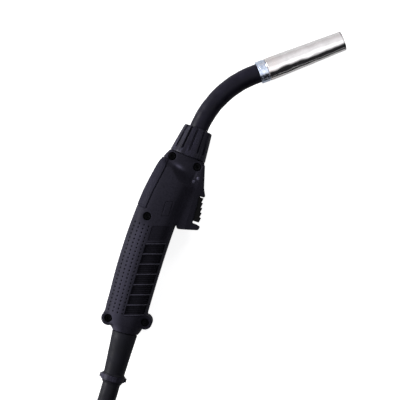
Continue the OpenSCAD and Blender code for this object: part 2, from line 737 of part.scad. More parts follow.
module plug_body() {
    color("#c9a24f") floor_plane() plug() difference() {
        union() {
            rod(60.4, plug_shoulder, plug_r);
            rod(84.05, plug_shoulder, plug_r + 1.2);
            rod(plug_shoulder, plug_end - 1, plug_r);
            cone(plug_end - 1.01, plug_end, plug_r, plug_r - 1);
        }
        ring(plug_groove, plug_groove + 2.4, plug_r + 2, plug_r - 1.9);
        rod(50, plug_end + 1, 2.4);
        rod(plug_end - 5, plug_end + 1, 3.9);
    }
}

module plug_o_ring() {
    color("#101012") floor_plane() plug() translate([0, 0, plug_groove + 1.2])
        rotate_extrude() translate([plug_r - 1, 0]) circle(r = 0.85, $fn = 32);
}

module control_pin(s) {
    color("#d2b36a") floor_plane() plug() translate([0, s * control_pin_y, 0]) {
        rod(75, 89, 1.9);
        translate([0, 0, 89]) cylinder(r1 = 1.9, r2 = 1.2, h = 1);
    }
}
module control_pin_left() { control_pin(1); }
module control_pin_right() { control_pin(-1); }

module liner_nut() {
    color("#c4a258") floor_plane() plug() difference() {
        union() {
            rod(plug_end - 4.8, plug_end + 0.1, 3.88);
            translate([0, 0, plug_end + 0.05]) cylinder(r = 5.2, h = 5, $fn = 6);
        }
        rod(90, 130, 1.2);
    }
}

gas_nozzle();
contact_tip();
tip_holder();
gas_diffuser();
nozzle_insulator();
nozzle_spring();
nozzle_collar();
neck_tube();
neck_sleeve();
wire_liner();
neck_lock_nut();
neck_block();
cable_nut();
cable_ferrule();
cable_conductor();
handle_shell_left();
handle_shell_right();
spine_inlay();
handle_screws();
handle_nuts();
trigger_lever();
trigger_pin();
trigger_spring();
switch_body();
switch_plunger();
switch_terminals();
switch_leads();
cable_boot();
boot_clamp();
cable_inner();
cable_run();
cable_coil();
cable_end();
cable_straps();
plug_boot();
plug_housing();
plug_housing_screws();
union_nut();
plug_body();
plug_o_ring();
control_pin_left();
control_pin_right();
liner_nut();
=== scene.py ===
"""Looks of a MIG welding torch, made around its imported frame: mouldings, metal, cable and studio."""
import json
import math

import bmesh
import bpy
import numpy as np
from bpy.props import FloatProperty, FloatVectorProperty, IntProperty, PointerProperty
from mathutils import Matrix, Vector

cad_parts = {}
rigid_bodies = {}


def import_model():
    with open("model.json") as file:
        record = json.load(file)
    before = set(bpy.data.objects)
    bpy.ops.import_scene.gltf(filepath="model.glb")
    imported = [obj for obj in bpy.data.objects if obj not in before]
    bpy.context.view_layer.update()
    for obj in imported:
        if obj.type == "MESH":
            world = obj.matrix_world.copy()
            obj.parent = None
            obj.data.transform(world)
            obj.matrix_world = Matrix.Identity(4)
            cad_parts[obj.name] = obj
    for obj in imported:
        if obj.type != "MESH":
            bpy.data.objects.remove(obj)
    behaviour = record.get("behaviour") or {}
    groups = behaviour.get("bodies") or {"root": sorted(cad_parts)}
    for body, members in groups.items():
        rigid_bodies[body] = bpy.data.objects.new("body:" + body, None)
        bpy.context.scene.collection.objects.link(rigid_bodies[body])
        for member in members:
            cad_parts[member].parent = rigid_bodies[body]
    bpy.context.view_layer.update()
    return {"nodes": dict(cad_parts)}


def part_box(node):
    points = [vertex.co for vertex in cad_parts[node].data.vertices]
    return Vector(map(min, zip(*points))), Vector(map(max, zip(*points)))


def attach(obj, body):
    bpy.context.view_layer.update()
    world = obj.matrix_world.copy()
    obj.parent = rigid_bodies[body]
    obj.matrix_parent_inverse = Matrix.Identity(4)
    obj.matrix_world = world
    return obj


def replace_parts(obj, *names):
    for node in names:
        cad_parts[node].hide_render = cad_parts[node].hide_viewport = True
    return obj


bl_info = {
    "name": "MIG Welding Torch",
    "version": (1, 0, 0),
    "blender": (4, 5, 0),
    "location": "View3D > Sidebar > Torch",
    "description": "Builds the looks of a MIG welding torch around its frame",
    "category": "Object",
}

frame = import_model()

# ---- places: millimetres in the torch's own plane, turned into the frame's metres ----
MM = 0.001
PIVOT = Vector((137.0, -24.5))
pin_low, pin_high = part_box("trigger_pin")
PLANE_Z = (pin_low.z + pin_high.z) / 2
MIDDLE = PIVOT - (pin_low + pin_high).xy / (2 * MM)


def spot(x, y, z):
    """A point of the torch's plane in millimetres, with its height in metres, as a point of the frame."""
    return Vector(((x - MIDDLE.x) * MM, (y - MIDDLE.y) * MM, z))


def axis_frame(x, y, heading, z=PLANE_Z):
    """Turns local millimetres into the frame's metres, with X along a heading and Z up."""
    turn = Matrix.Rotation(math.radians(heading), 4, "Z")
    return Matrix.Translation(spot(x, y, z)) @ turn @ Matrix.Scale(MM, 4)


def heading_of(degrees):
    return Vector((math.cos(math.radians(degrees)), math.sin(math.radians(degrees))))


NUT_BASE = Vector((164.5, -6.8))
NECK_HEADING = -5.0
BEND_RADIUS = 92.0
BEND_ANGLE = 47.0
STRAIGHT_LEN = 28.0
FRONT_LEN = 5.0
COLLAR_LEN = 9.0
NOZZLE_HEADING = NECK_HEADING - BEND_ANGLE
BEND_START = NUT_BASE + STRAIGHT_LEN * heading_of(NECK_HEADING)
BEND_CENTRE = BEND_START - BEND_RADIUS * heading_of(NECK_HEADING + 90)
BEND_END = BEND_CENTRE + BEND_RADIUS * heading_of(NOZZLE_HEADING + 90)
NOZZLE_BASE = BEND_END + (FRONT_LEN + COLLAR_LEN) * heading_of(NOZZLE_HEADING)
BOOT_BASE = Vector((-12.0, 1.2))
BOOT_HEADING = 2.2
PLUG_START = Vector((-145.0, -179.0))
PLUG_Z = 0.023
COIL_CENTRE = Vector((-255.0, -82.0))

TORCH = axis_frame(0, 0, 0)
NECK = axis_frame(*NUT_BASE, NECK_HEADING)
NOZZLE = axis_frame(*NOZZLE_BASE, NOZZLE_HEADING)
BOOT = axis_frame(*BOOT_BASE, BOOT_HEADING)
PLUG = axis_frame(*PLUG_START, 0, PLUG_Z)
COIL = axis_frame(*COIL_CENTRE, 0, 0.0)

# ---- the cable's route past the boot, in metres: x and y in the torch's plane, z above the floor ----
CABLE_R = 0.0085
BOOT_MOUTH = (-0.062, -0.0007, 0.0185)
RUN = [
    BOOT_MOUTH, (-0.075, -0.0009, 0.0182), (-0.092, -0.0006, 0.0162), (-0.111, 0.0005, 0.0127),
    (-0.131, 0.0027, 0.0100), (-0.153, 0.0062, 0.0088), (-0.177, 0.0106, 0.0087), (-0.202, 0.0148, 0.0091),
    (-0.225, 0.0174, 0.0098), (-0.242, 0.0184, 0.0101), (-0.255, 0.0185, 0.0101)]
TAIL = [
    (-0.255, -0.1825, 0.0441), (-0.244, -0.1825, 0.0442), (-0.233, -0.1825, 0.0442),
    (-0.222, -0.1824, 0.0435), (-0.210, -0.1821, 0.0411), (-0.197, -0.1815, 0.0368),
    (-0.184, -0.1806, 0.0318), (-0.170, -0.1797, 0.0270), (-0.157, -0.1792, 0.0239),
    (-0.145, -0.1790, 0.0230)]
COIL_FROM = 90
COIL_TO = 1710
OUTER_TURN = 0.1005
INNER_TURN = 0.0835
LAYERS = (0.0101, 0.0271, 0.0441)
# Where the coil changes its turn: from and to, in degrees round it, and the radius and height that it goes to
CROSSINGS = [
    (355, 450, INNER_TURN, LAYERS[0]), (703, 768, INNER_TURN, LAYERS[1]),
    (1021, 1116, OUTER_TURN, LAYERS[1]), (1369, 1434, OUTER_TURN, LAYERS[2])]
STRAP_PLACES = (42, 170)


def coil_points(step):
    """The coil's turns, which lie beside and on each other a diameter apart."""
    points = []
    for degrees in np.arange(COIL_FROM, COIL_TO + 1e-6, step):
        radius, height = OUTER_TURN, LAYERS[0]
        for start, end, next_radius, next_height in CROSSINGS:
            share = min(1.0, max(0.0, (degrees - start) / (end - start)))
            eased = (1 - math.cos(math.pi * share)) / 2
            radius += (next_radius - radius) * eased
            height += (next_height - height) * eased
        across = heading_of(degrees) * radius
        points.append((COIL_CENTRE.x * MM + across.x, COIL_CENTRE.y * MM + across.y, height))
    return points


def smooth_line(points, steps):
    """A smooth curve through points: each stretch blends the two points before it and the two after."""
    rows = np.array(points, float)
    padded = np.vstack([rows[0], rows, rows[-1]])
    out = []
    for i in range(len(rows) - 1):
        a, b, c, d = padded[i:i + 4]
        for t in np.arange(steps) / steps:
            out.append(0.5 * (2 * b + (c - a) * t + (2 * a - 5 * b + 4 * c - d) * t * t
                              + (3 * b - a - 3 * c + d) * t * t * t))
    return np.array(out + [rows[-1]])


def cable_path():
    """The whole route of the free cable, as points of the frame."""
    route = np.vstack([smooth_line(RUN, 4)[:-1], coil_points(3), smooth_line(TAIL, 4)[1:]])
    return route - np.array([MIDDLE.x * MM, MIDDLE.y * MM, 0])


# ---- sizes and colours that a user would change ----
def length_prop(name, description, default):
    return FloatProperty(name=name, description=description, default=default, unit="LENGTH")


def colour_prop(name, description, default):
    return FloatVectorProperty(name=name, description=description, default=default, subtype="COLOR",
                               size=3, min=0.0, max=1.0)


def count_prop(name, description, default, low, high):
    return IntProperty(name=name, description=description, default=default, min=low, max=high)


class StudioSettings(bpy.types.PropertyGroup):
    camera_height: length_prop("Camera Height", "Camera above the middle of the torch", 1.05)
    frame_width: length_prop("Frame Width", "What the camera takes in at the torch's height", 0.38)
    key_power: FloatProperty(
        name="Key Light", description="Power of the large softbox", default=64.0, unit="POWER")
    fill_power: FloatProperty(
        name="Fill Light", description="Power of the softbox beyond the neck", default=5.0, unit="POWER")
    floor_colour: colour_prop("Floor", "Colour of the studio floor", (0.8, 0.8, 0.8))
    floor_glow: FloatProperty(
        name="Floor Glow", description="How brightly the floor is seen to glow", default=0.86, min=0)


class HandleSettings(bpy.types.PropertyGroup):
    plastic: colour_prop("Shells", "Moulded shells of the handle", (0.0180, 0.0171, 0.0250))
    inlay: colour_prop("Inlay", "Strip in the back of the handle", (0.0135, 0.0128, 0.0200))
    trigger: colour_prop("Trigger", "Lever that the finger pulls", (0.004, 0.004, 0.005))
    screw: colour_prop("Screws", "Blackened screws in the handle", (0.0035, 0.0035, 0.004))
    mesh_step: length_prop("Mesh Step", "Spacing of the shells' first mesh, which fine areas halve", 0.00065)
    fine_lines: count_prop("Fine Lines", "Fine lines between two bold ribs of the grip", 4, 1, 6)
    line_radius: length_prop("Line Radius", "Radius of the fine lines", 0.00020)
    rib_radius: length_prop("Rib Radius", "Radius of the bold ribs across the grip", 0.00065)
    bevel: length_prop("Trigger Bevel", "Rounding of the trigger's edges", 0.00045)


class NeckSettings(bpy.types.PropertyGroup):
    sleeve: colour_prop("Sleeve", "Insulation over the neck", (0.0068, 0.0063, 0.0115))
    nut: colour_prop("Lock Nut", "Ribbed nut and boot clamp", (0.0100, 0.0093, 0.0155))
    nickel: colour_prop("Nozzle", "Polished plate of the gas nozzle", (0.78, 0.765, 0.76))
    zinc: colour_prop("Collar", "Turned collar behind the nozzle", (0.48, 0.55, 0.68))
    nut_ribs: count_prop("Nut Ribs", "Ribs round the lock nut", 14, 10, 16)
    groove_width: length_prop("Groove Width", "Width of the lock nut's grooves", 0.0018)
    groove_depth: length_prop("Groove Depth", "Depth of the lock nut's grooves", 0.0016)


class CableSettings(bpy.types.PropertyGroup):
    jacket: colour_prop("Jacket", "Rubber jacket of the cable", (0.006, 0.006, 0.0085))
    boot: colour_prop("Boot", "Soft rubber boots at both ends", (0.005, 0.005, 0.0075))
    strap: colour_prop("Strap", "Bands round the coil", (0.014, 0.014, 0.017))
    strap_width: length_prop("Strap Width", "Width of the straps round the coil", 0.016)
    plug: colour_prop("Plug", "Moulded housing and union nut of the plug", (0.014, 0.014, 0.017))
    nut_grips: count_prop("Union Nut Grips", "Grips round the union nut", 12, 8, 16)


# ---- node trees ----
def put(tree, kind, inputs=None, **settings):
    """A node with its settings, and its inputs set to values or joined to other nodes' outputs."""
    node = tree.nodes.new(kind)
    for key, value in settings.items():
        setattr(node, key, value)
    for key, value in (inputs or {}).items():
        if isinstance(value, bpy.types.NodeSocket):
            tree.links.new(value, node.inputs[key])
        else:
            node.inputs[key].default_value = value
    return node


def math_node(tree, operation, *values):
    return put(tree, "ShaderNodeMath", dict(enumerate(values)), operation=operation).outputs[0]


def remap(tree, value, from_low, from_high, to_low=0.0, to_high=1.0):
    ends = {0: value, 1: from_low, 2: from_high, 3: to_low, 4: to_high}
    return put(tree, "ShaderNodeMapRange", ends).outputs[0]


def mix_colour(tree, factor, low, high):
    return put(tree, "ShaderNodeMix", {0: factor, 6: low, 7: high}, data_type="RGBA").outputs[2]


def shade_of(colour, times):
    return (*(min(1.0, c * times) for c in colour[:3]), 1.0)


def geometry_tree(name, **kinds):
    """A Geometry Nodes tree with named inputs, the sockets of its inputs, and its output's filler."""
    tree = bpy.data.node_groups.new(name, "GeometryNodeTree")
    tree.interface.new_socket("Geometry", in_out="INPUT", socket_type="NodeSocketGeometry")
    tree.interface.new_socket("Geometry", in_out="OUTPUT", socket_type="NodeSocketGeometry")
    for key, kind in {**kinds, "Material": "Material"}.items():
        tree.interface.new_socket(key, in_out="INPUT", socket_type="NodeSocket" + kind)
    sockets = put(tree, "NodeGroupInput").outputs

    def finish(geometry):
        plain = put(tree, "GeometryNodeRealizeInstances", {0: geometry}).outputs[0]
        coated = put(tree, "GeometryNodeSetMaterial", {"Geometry": plain, "Material": sockets["Material"]})
        put(tree, "NodeGroupOutput", {0: coated.outputs[0]})
        return tree
    return tree, sockets, finish


# How near two sectors' edges lie, in millimetres, to be joined into one ring
SEAM_GAP = 0.004


def repeat_round_tree():
    """Repeats a sector of a piece about X, and joins the sectors into one ring."""
    tree, sockets, finish = geometry_tree("repeat_round", Count="Int")
    line = put(tree, "GeometryNodeMeshLine", {"Count": sockets["Count"], "Offset": (0.0, 0.0, 0.0)})
    turn = math_node(tree, "DIVIDE", 2 * math.pi, sockets["Count"])
    angle = math_node(tree, "MULTIPLY", put(tree, "GeometryNodeInputIndex").outputs[0], turn)
    ring = put(tree, "GeometryNodeInstanceOnPoints", {
        "Points": line.outputs[0], "Instance": sockets["Geometry"],
        "Rotation": put(tree, "ShaderNodeCombineXYZ", {0: angle}).outputs[0]})
    plain = put(tree, "GeometryNodeRealizeInstances", {0: ring.outputs[0]})
    joined = put(tree, "GeometryNodeMergeByDistance", {0: plain.outputs[0], "Distance": SEAM_GAP})
    return finish(joined.outputs[0])


def place_on_points_tree():
    """Puts a piece on each point, stretched by the point's own stretch."""
    tree, sockets, finish = geometry_tree("place_on_points", Piece="Object")
    part = put(tree, "GeometryNodeObjectInfo", {"Object": sockets["Piece"]})
    stretch = put(tree, "GeometryNodeInputNamedAttribute", {"Name": "stretch"}, data_type="FLOAT_VECTOR")
    return finish(put(tree, "GeometryNodeInstanceOnPoints", {
        "Points": sockets["Geometry"], "Instance": part.outputs["Geometry"],
        "Scale": stretch.outputs[0]}).outputs[0])


def rods_on_lines_tree():
    """Runs a round rod along each line."""
    tree, sockets, finish = geometry_tree("rods_on_lines", Radius="Float", Sides="Int")
    lines = put(tree, "GeometryNodeMeshToCurve", {0: sockets["Geometry"]})
    round_section = put(tree, "GeometryNodeCurvePrimitiveCircle", {
        "Resolution": sockets["Sides"], "Radius": sockets["Radius"]})
    return finish(put(tree, "GeometryNodeCurveToMesh", {
        "Curve": lines.outputs[0], "Profile Curve": round_section.outputs[0], "Fill Caps": True}).outputs[0])


# The frame's plain materials have the finishes' bare names, so the finishes put this before theirs
OWN = "torch_"


class Finish:
    """A material, and the steps that its colour, gloss and relief are built from."""

    def __init__(self, name, colour, roughness, metallic=0.0, shine=0.5):
        self.material = bpy.data.materials.new(OWN + name)
        self.material.use_nodes = True
        self.tree = self.material.node_tree
        self.shader = self.tree.nodes["Principled BSDF"]
        self.colour = shade_of(colour, 1.0)
        self.normal = None
        self.set("Base Color", self.colour)
        self.set("Roughness", roughness)
        self.set("Metallic", metallic)
        self.set("Specular IOR Level", shine)
        self.object_coords = put(self.tree, "ShaderNodeTexCoord").outputs["Object"]

    def set(self, key, value):
        if isinstance(value, bpy.types.NodeSocket):
            self.tree.links.new(value, self.shader.inputs[key])
        else:
            self.shader.inputs[key].default_value = value

    def local(self, at, stretch=(1.0, 1.0, 1.0)):
        """An axis frame's own millimetres, stretched."""
        place, turn, unit = at.decompose()
        return put(self.tree, "ShaderNodeMapping", {
            "Vector": self.object_coords, "Location": place, "Rotation": turn.to_euler(),
            "Scale": unit * Vector(stretch)}, vector_type="TEXTURE").outputs[0]

    def noise(self, size, detail=3.0, coords=None):
        """Mottling with marks of about that size, in the coordinates' own unit."""
        return put(self.tree, "ShaderNodeTexNoise", {
            "Vector": coords or self.object_coords, "Scale": 1 / size, "Detail": detail}).outputs[0]

    def tint(self, factor, colour, low=0.35, high=0.65):
        """Lays a colour over what there is, where a factor is high."""
        under = self.shader.inputs["Base Color"]
        below = under.links[0].from_socket if under.links else tuple(under.default_value)
        share = remap(self.tree, factor, low, high)
        self.set("Base Color", mix_colour(self.tree, share, below, shade_of(colour, 1)))

    def gloss(self, factor, smooth, rough, low=0.35, high=0.65):
        self.set("Roughness", remap(self.tree, factor, low, high, smooth, rough))

    def relief(self, height, depth, strength=1.0):
        """Adds fine relief of that depth in metres."""
        inputs = {"Height": height, "Distance": depth, "Strength": strength}
        if self.normal:
            inputs["Normal"] = self.normal
        self.normal = put(self.tree, "ShaderNodeBump", inputs).outputs[0]
        self.set("Normal", self.normal)


# ---- finishes ----
# Sizes in metres of a moulding's dark speckle and of its grain, and how little black plastic and rubber shine
SPECKLE = 0.0011
GRAIN = 0.00045
DULL = 0.08


def moulded_finish(name, colour, roughness=0.42, depth=0.00004, shine=0.35):
    """Moulded plastic: spark-eroded grain, slow changes of gloss, painted sheen and highlights, and painted
    shade where the surface is sunk.
    """
    finish = Finish(name, colour, roughness, shine=shine)
    finish.tint(finish.noise(0.02, 4), shade_of(colour, 1.3))
    finish.tint(finish.noise(SPECKLE, 2), shade_of(colour, 0.7), 0.45, 0.75)
    worn = put(finish.tree, "ShaderNodeAttribute", attribute_name="worn").outputs["Fac"]
    # Painted sheen and highlights: paler up to 1 over the stippled back, and much paler above 1 on the pod's
    # nose and the pips
    finish.tint(worn, shade_of(colour, 2.7), 0.0, 1.0)
    finish.tint(worn, shade_of(colour, 8.0), 1.0, 2.0)
    sunk = put(finish.tree, "ShaderNodeAttribute", attribute_name="sunk").outputs["Fac"]
    # Painted shade: darker where the surface is sunk, in the pits, the panel, the field and the tab's outline
    finish.tint(sunk, shade_of(colour, 0.25), 0.1, 0.5)
    finish.gloss(finish.noise(0.014, 3), roughness - 0.06, roughness + 0.08)
    finish.relief(finish.noise(GRAIN, 2), depth, 0.6)
    return finish.material


def nut_finish(name, colour):
    """Moulded plastic with a band of painted sheen along one side of it, and pale streaks along its ribs
    painted in place of their reflections.
    """
    finish = Finish(name, colour, 0.34, shine=DULL)
    tree = finish.tree
    across = put(tree, "ShaderNodeSeparateXYZ", {0: finish.local(NECK)}).outputs[1]
    # Painted sheen: paler in a band along the nut, from 10 mm to one side of its axis to 4 mm to the other
    painted_side_sheen = math_node(tree, "MULTIPLY", remap(tree, across, 4.0, -1.0), remap(tree, across, -10.0, -5.0))
    finish.tint(painted_side_sheen, shade_of(colour, 2.4), 0.0, 1.0)
    # Pale streaks along the ribs, painted in place of their reflections
    along = finish.local(NECK, (14.0, 1.0, 1.0))
    finish.tint(finish.noise(2.2, 3, along), shade_of(colour, 3.4), 0.46, 0.66)
    finish.tint(finish.noise(SPECKLE, 2), shade_of(colour, 0.7), 0.45, 0.75)
    finish.relief(finish.noise(GRAIN, 2), 0.00002, 0.6)
    return finish.material


def rubber_finish(name, colour, roughness=0.55, wrinkle=0.0001):
    """Smooth rubber: faint bloom, shallow ripples and fine pores."""
    finish = Finish(name, colour, roughness, shine=DULL)
    finish.tint(finish.noise(0.012, 4), shade_of(colour, 1.5))
    finish.gloss(finish.noise(0.006, 3), roughness - 0.1, roughness + 0.1)
    finish.relief(finish.noise(0.006, 1), wrinkle, 0.35)
    finish.relief(finish.noise(0.0005, 2), 0.00003, 0.5)
    return finish.material


def metal_finish(name, colour, roughness, dull, size=0.004):
    """Bare metal: machining bloom in its gloss and darker, duller patches."""
    finish = Finish(name, colour, roughness, 1.0)
    finish.tint(finish.noise(size, 5), shade_of(colour, dull), 0.45, 0.8)
    finish.gloss(finish.noise(size / 2, 4), roughness * 0.7, roughness * 1.5)
    finish.relief(finish.noise(size / 8, 2), 0.00001, 0.3)
    return finish.material


def nickel_finish(name, colour):
    """Polished plate: waves left by the polishing, scratches along it, heat tint behind and a dark mouth."""
    finish = Finish(name, colour, 0.11, 1.0)
    along = put(finish.tree, "ShaderNodeSeparateXYZ", {0: finish.local(NOZZLE)}).outputs[0]
    finish.tint(remap(finish.tree, along, 18.0, 1.0), (0.68, 0.58, 0.54), 0.0, 1.7)
    finish.tint(remap(finish.tree, along, 75.2, 75.9), (0.2, 0.2, 0.2), 0.0, 1.0)
    finish.tint(finish.noise(0.009, 4), shade_of(colour, 0.88), 0.4, 0.75)
    finish.gloss(finish.noise(0.005, 4), 0.08, 0.2)
    long_marks = finish.local(NOZZLE, (9.0, 1.0, 1.0))
    finish.relief(finish.noise(0.4, 2, long_marks), 0.000012, 0.35)
    finish.relief(finish.noise(0.015, 1), 0.0017, 0.8)
    return finish.material


def zinc_finish(name, colour):
    """Turned and plated: rings round the axis, and a pale oxide bloom."""
    finish = Finish(name, colour, 0.3, 1.0)
    rings = finish.local(NOZZLE, (1.0, 30.0, 30.0))
    finish.tint(finish.noise(0.0035, 4), (0.80, 0.84, 0.90), 0.45, 0.7)
    finish.relief(finish.noise(0.35, 2, rings), 0.00004, 0.4)
    finish.gloss(finish.noise(0.002, 3), 0.15, 0.3)
    return finish.material


def fired_finish(name, colour):
    """Fired or pressed insulating ware: speckled and dry."""
    finish = Finish(name, colour, 0.6)
    finish.tint(finish.noise(0.0015, 4), shade_of(colour, 0.82), 0.45, 0.75)
    finish.relief(finish.noise(0.0004, 2), 0.00002, 0.4)
    return finish.material


def strap_finish(name, colour):
    """Hook-and-loop band: looped pile over a weave."""
    finish = Finish(name, colour, 0.85)
    finish.set("Sheen Weight", 0.3)
    finish.tint(finish.noise(0.0012, 3), shade_of(colour, 2.2))
    finish.relief(finish.noise(0.0007, 3), 0.0002, 0.9)
    return finish.material


# Which of the frame's own solids each finish goes on, where no piece takes the solid's place
KEPT_SOLIDS = {
    "copper": ("contact_tip", "neck_tube", "cable_ferrule", "cable_conductor"),
    "brass": ("tip_holder", "neck_block", "cable_nut", "switch_terminals", "plug_body", "control_pin_left",
              "control_pin_right", "liner_nut"),
    "ceramic": ("gas_diffuser",),
    "insulator": ("nozzle_insulator",),
    "steel": ("nozzle_spring", "wire_liner", "handle_nuts", "trigger_pin", "trigger_spring",
              "plug_housing_screws"),
    "switch_plastic": ("switch_body",),
    "plunger_plastic": ("switch_plunger",),
    "lead_sheath": ("switch_leads",),
    "cable_rubber": ("cable_inner",),
    "boot_rubber": ("plug_o_ring",),
}


def coat(name):
    return bpy.data.materials[OWN + name]


# ---- meshes ----
def link(obj):
    bpy.context.scene.collection.objects.link(obj)
    return obj


def raw(name, points, faces, edges=()):
    """An object of its own, not placed yet."""
    mesh = bpy.data.meshes.new(name)
    mesh.from_pydata([tuple(p) for p in points], list(edges), [tuple(f) for f in faces])
    return link(bpy.data.objects.new(name, mesh))


def applied(obj, tree, values):
    """Runs a Geometry Nodes tree on an object, and keeps its result as a plain mesh."""
    modifier = obj.modifiers.new(tree.name, "NODES")
    modifier.node_group = tree
    for item in tree.interface.items_tree:
        if item.in_out == "INPUT" and item.name in values:
            modifier[item.identifier] = values[item.name]
    graph = bpy.context.evaluated_depsgraph_get()
    mesh = bpy.data.meshes.new_from_object(obj.evaluated_get(graph), depsgraph=graph)
    obj.modifiers.remove(modifier)
    obj.data = mesh
    return obj


def join_doubles(mesh, distance):
    """Joins a mesh's doubled points, and drops the faces that close up."""
    shape = bmesh.new()
    shape.from_mesh(mesh)
    bmesh.ops.remove_doubles(shape, verts=shape.verts, dist=distance)
    bmesh.ops.dissolve_degenerate(shape, edges=shape.edges, dist=distance / 20)
    shape.to_mesh(mesh)
    shape.free()


def placed(obj, at, slot, body="torch", sharp=32.0, weld=2e-6):
    """Puts a mesh in its place, shaded smooth with its hard edges kept, and joins it to its body."""
    mesh = obj.data
    mesh.transform(at)
    if weld:
        join_doubles(mesh, weld)
    mesh.materials.clear()
    mesh.materials.append(coat(slot))
    mesh.polygons.foreach_set("use_smooth", [True] * len(mesh.polygons))
    mesh.set_sharp_from_angle(angle=math.radians(sharp))
    if body:
        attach(obj, body)
    return obj


def grid_faces(rows, row, wrap_rows=False, wrap_row=False):
    """Quads between neighbouring rows of points."""
    faces = []
    for i in range(rows if wrap_rows else rows - 1):
        for j in range(row if wrap_row else row - 1):
            a, b = i * row, (i + 1) % rows * row
            k = (j + 1) % row
            faces.append((a + j, a + k, b + k, b + j))
    return faces


def lathe(profile, sides=72, closed=True):
    """A profile of places along X and radii, turned about X: forwards outside, and back inside."""
    angles = np.arange(sides) * 2 * math.pi / sides
    points = []
    for x, r in profile:
        radii = np.broadcast_to(np.asarray(r, float), sides)
        points.extend(zip([x] * sides, radii * np.cos(angles), radii * np.sin(angles)))
    return points, grid_faces(len(profile), sides, wrap_rows=closed, wrap_row=True)


def sector(profile, count, lift):
    """One of a count of equal sectors about X, whose outside is lifted by a function."""
    half = math.pi / count
    angles = half * np.linspace(-1, 1, 27)
    points = []
    for x, r, outside in profile:
        radii = r + (lift(x, np.abs(angles) * r, half * r) if outside else 0 * angles)
        points.extend(zip([x] * len(angles), radii * np.cos(angles), radii * np.sin(angles)))
    return points, grid_faces(len(profile), len(angles), wrap_rows=True)


def sweep(path, radii, sides, bore=None):
    """A tube along a path, with capped ends or with a bore."""
    path = np.array(path, float)
    radii = np.broadcast_to(np.asarray(radii, float), len(path))
    tangents = np.gradient(path, axis=0)
    tangents /= np.linalg.norm(tangents, axis=1)[:, None]
    side = np.cross([0.0, 0.0, 1.0], tangents[0])
    angles = np.arange(sides) * 2 * math.pi / sides
    outer, inner = [], []
    for centre, tangent, radius in zip(path, tangents, radii):
        side = side - tangent * (side @ tangent)
        side /= np.linalg.norm(side)
        up = np.cross(tangent, side)
        round_way = [math.cos(w) * side + math.sin(w) * up for w in angles]
        outer.append([centre + radius * d for d in round_way])
        inner.append([centre + (bore or 0) * d for d in round_way])
    if bore:
        rows = outer + inner[::-1]
        return [p for row in rows for p in row], grid_faces(len(rows), sides, wrap_rows=True, wrap_row=True)
    faces = grid_faces(len(path), sides, wrap_row=True)
    last = (len(path) - 1) * sides
    faces.append(tuple(range(sides))[::-1])
    faces.append(tuple(range(last, last + sides)))
    return [p for row in outer for p in row], faces


def softened(node, name, width, slot, body="torch"):
    """A piece with a solid's shape, its hard edges rounded."""
    obj = link(bpy.data.objects.new(name, frame["nodes"][node].data.copy()))
    obj.data.transform(frame["nodes"][node].matrix_world)
    shape = bmesh.new()
    shape.from_mesh(obj.data)
    bmesh.ops.remove_doubles(shape, verts=shape.verts, dist=1e-6)
    bmesh.ops.dissolve_limit(shape, angle_limit=math.radians(1), verts=shape.verts, edges=shape.edges)
    hard = [e for e in shape.edges if len(e.link_faces) == 2 and e.calc_face_angle() > math.radians(30)]
    bmesh.ops.bevel(
        shape, geom=hard, offset=width, segments=3, profile=0.5, affect="EDGES", clamp_overlap=True)
    bmesh.ops.triangulate(shape, faces=[f for f in shape.faces if len(f.verts) > 4])
    shape.to_mesh(obj.data)
    shape.free()
    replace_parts(placed(obj, Matrix.Identity(4), slot, body), node)


# ---- operators ----
def clear_light(tree):
    """1 for rays that see the backdrop straight or through glass, and 1 for mirrored rays."""
    path = put(tree, "ShaderNodeLightPath")
    seen = math_node(tree, "MAXIMUM", path.outputs["Is Camera Ray"], path.outputs["Is Transmission Ray"])
    return seen, path.outputs["Is Glossy Ray"]


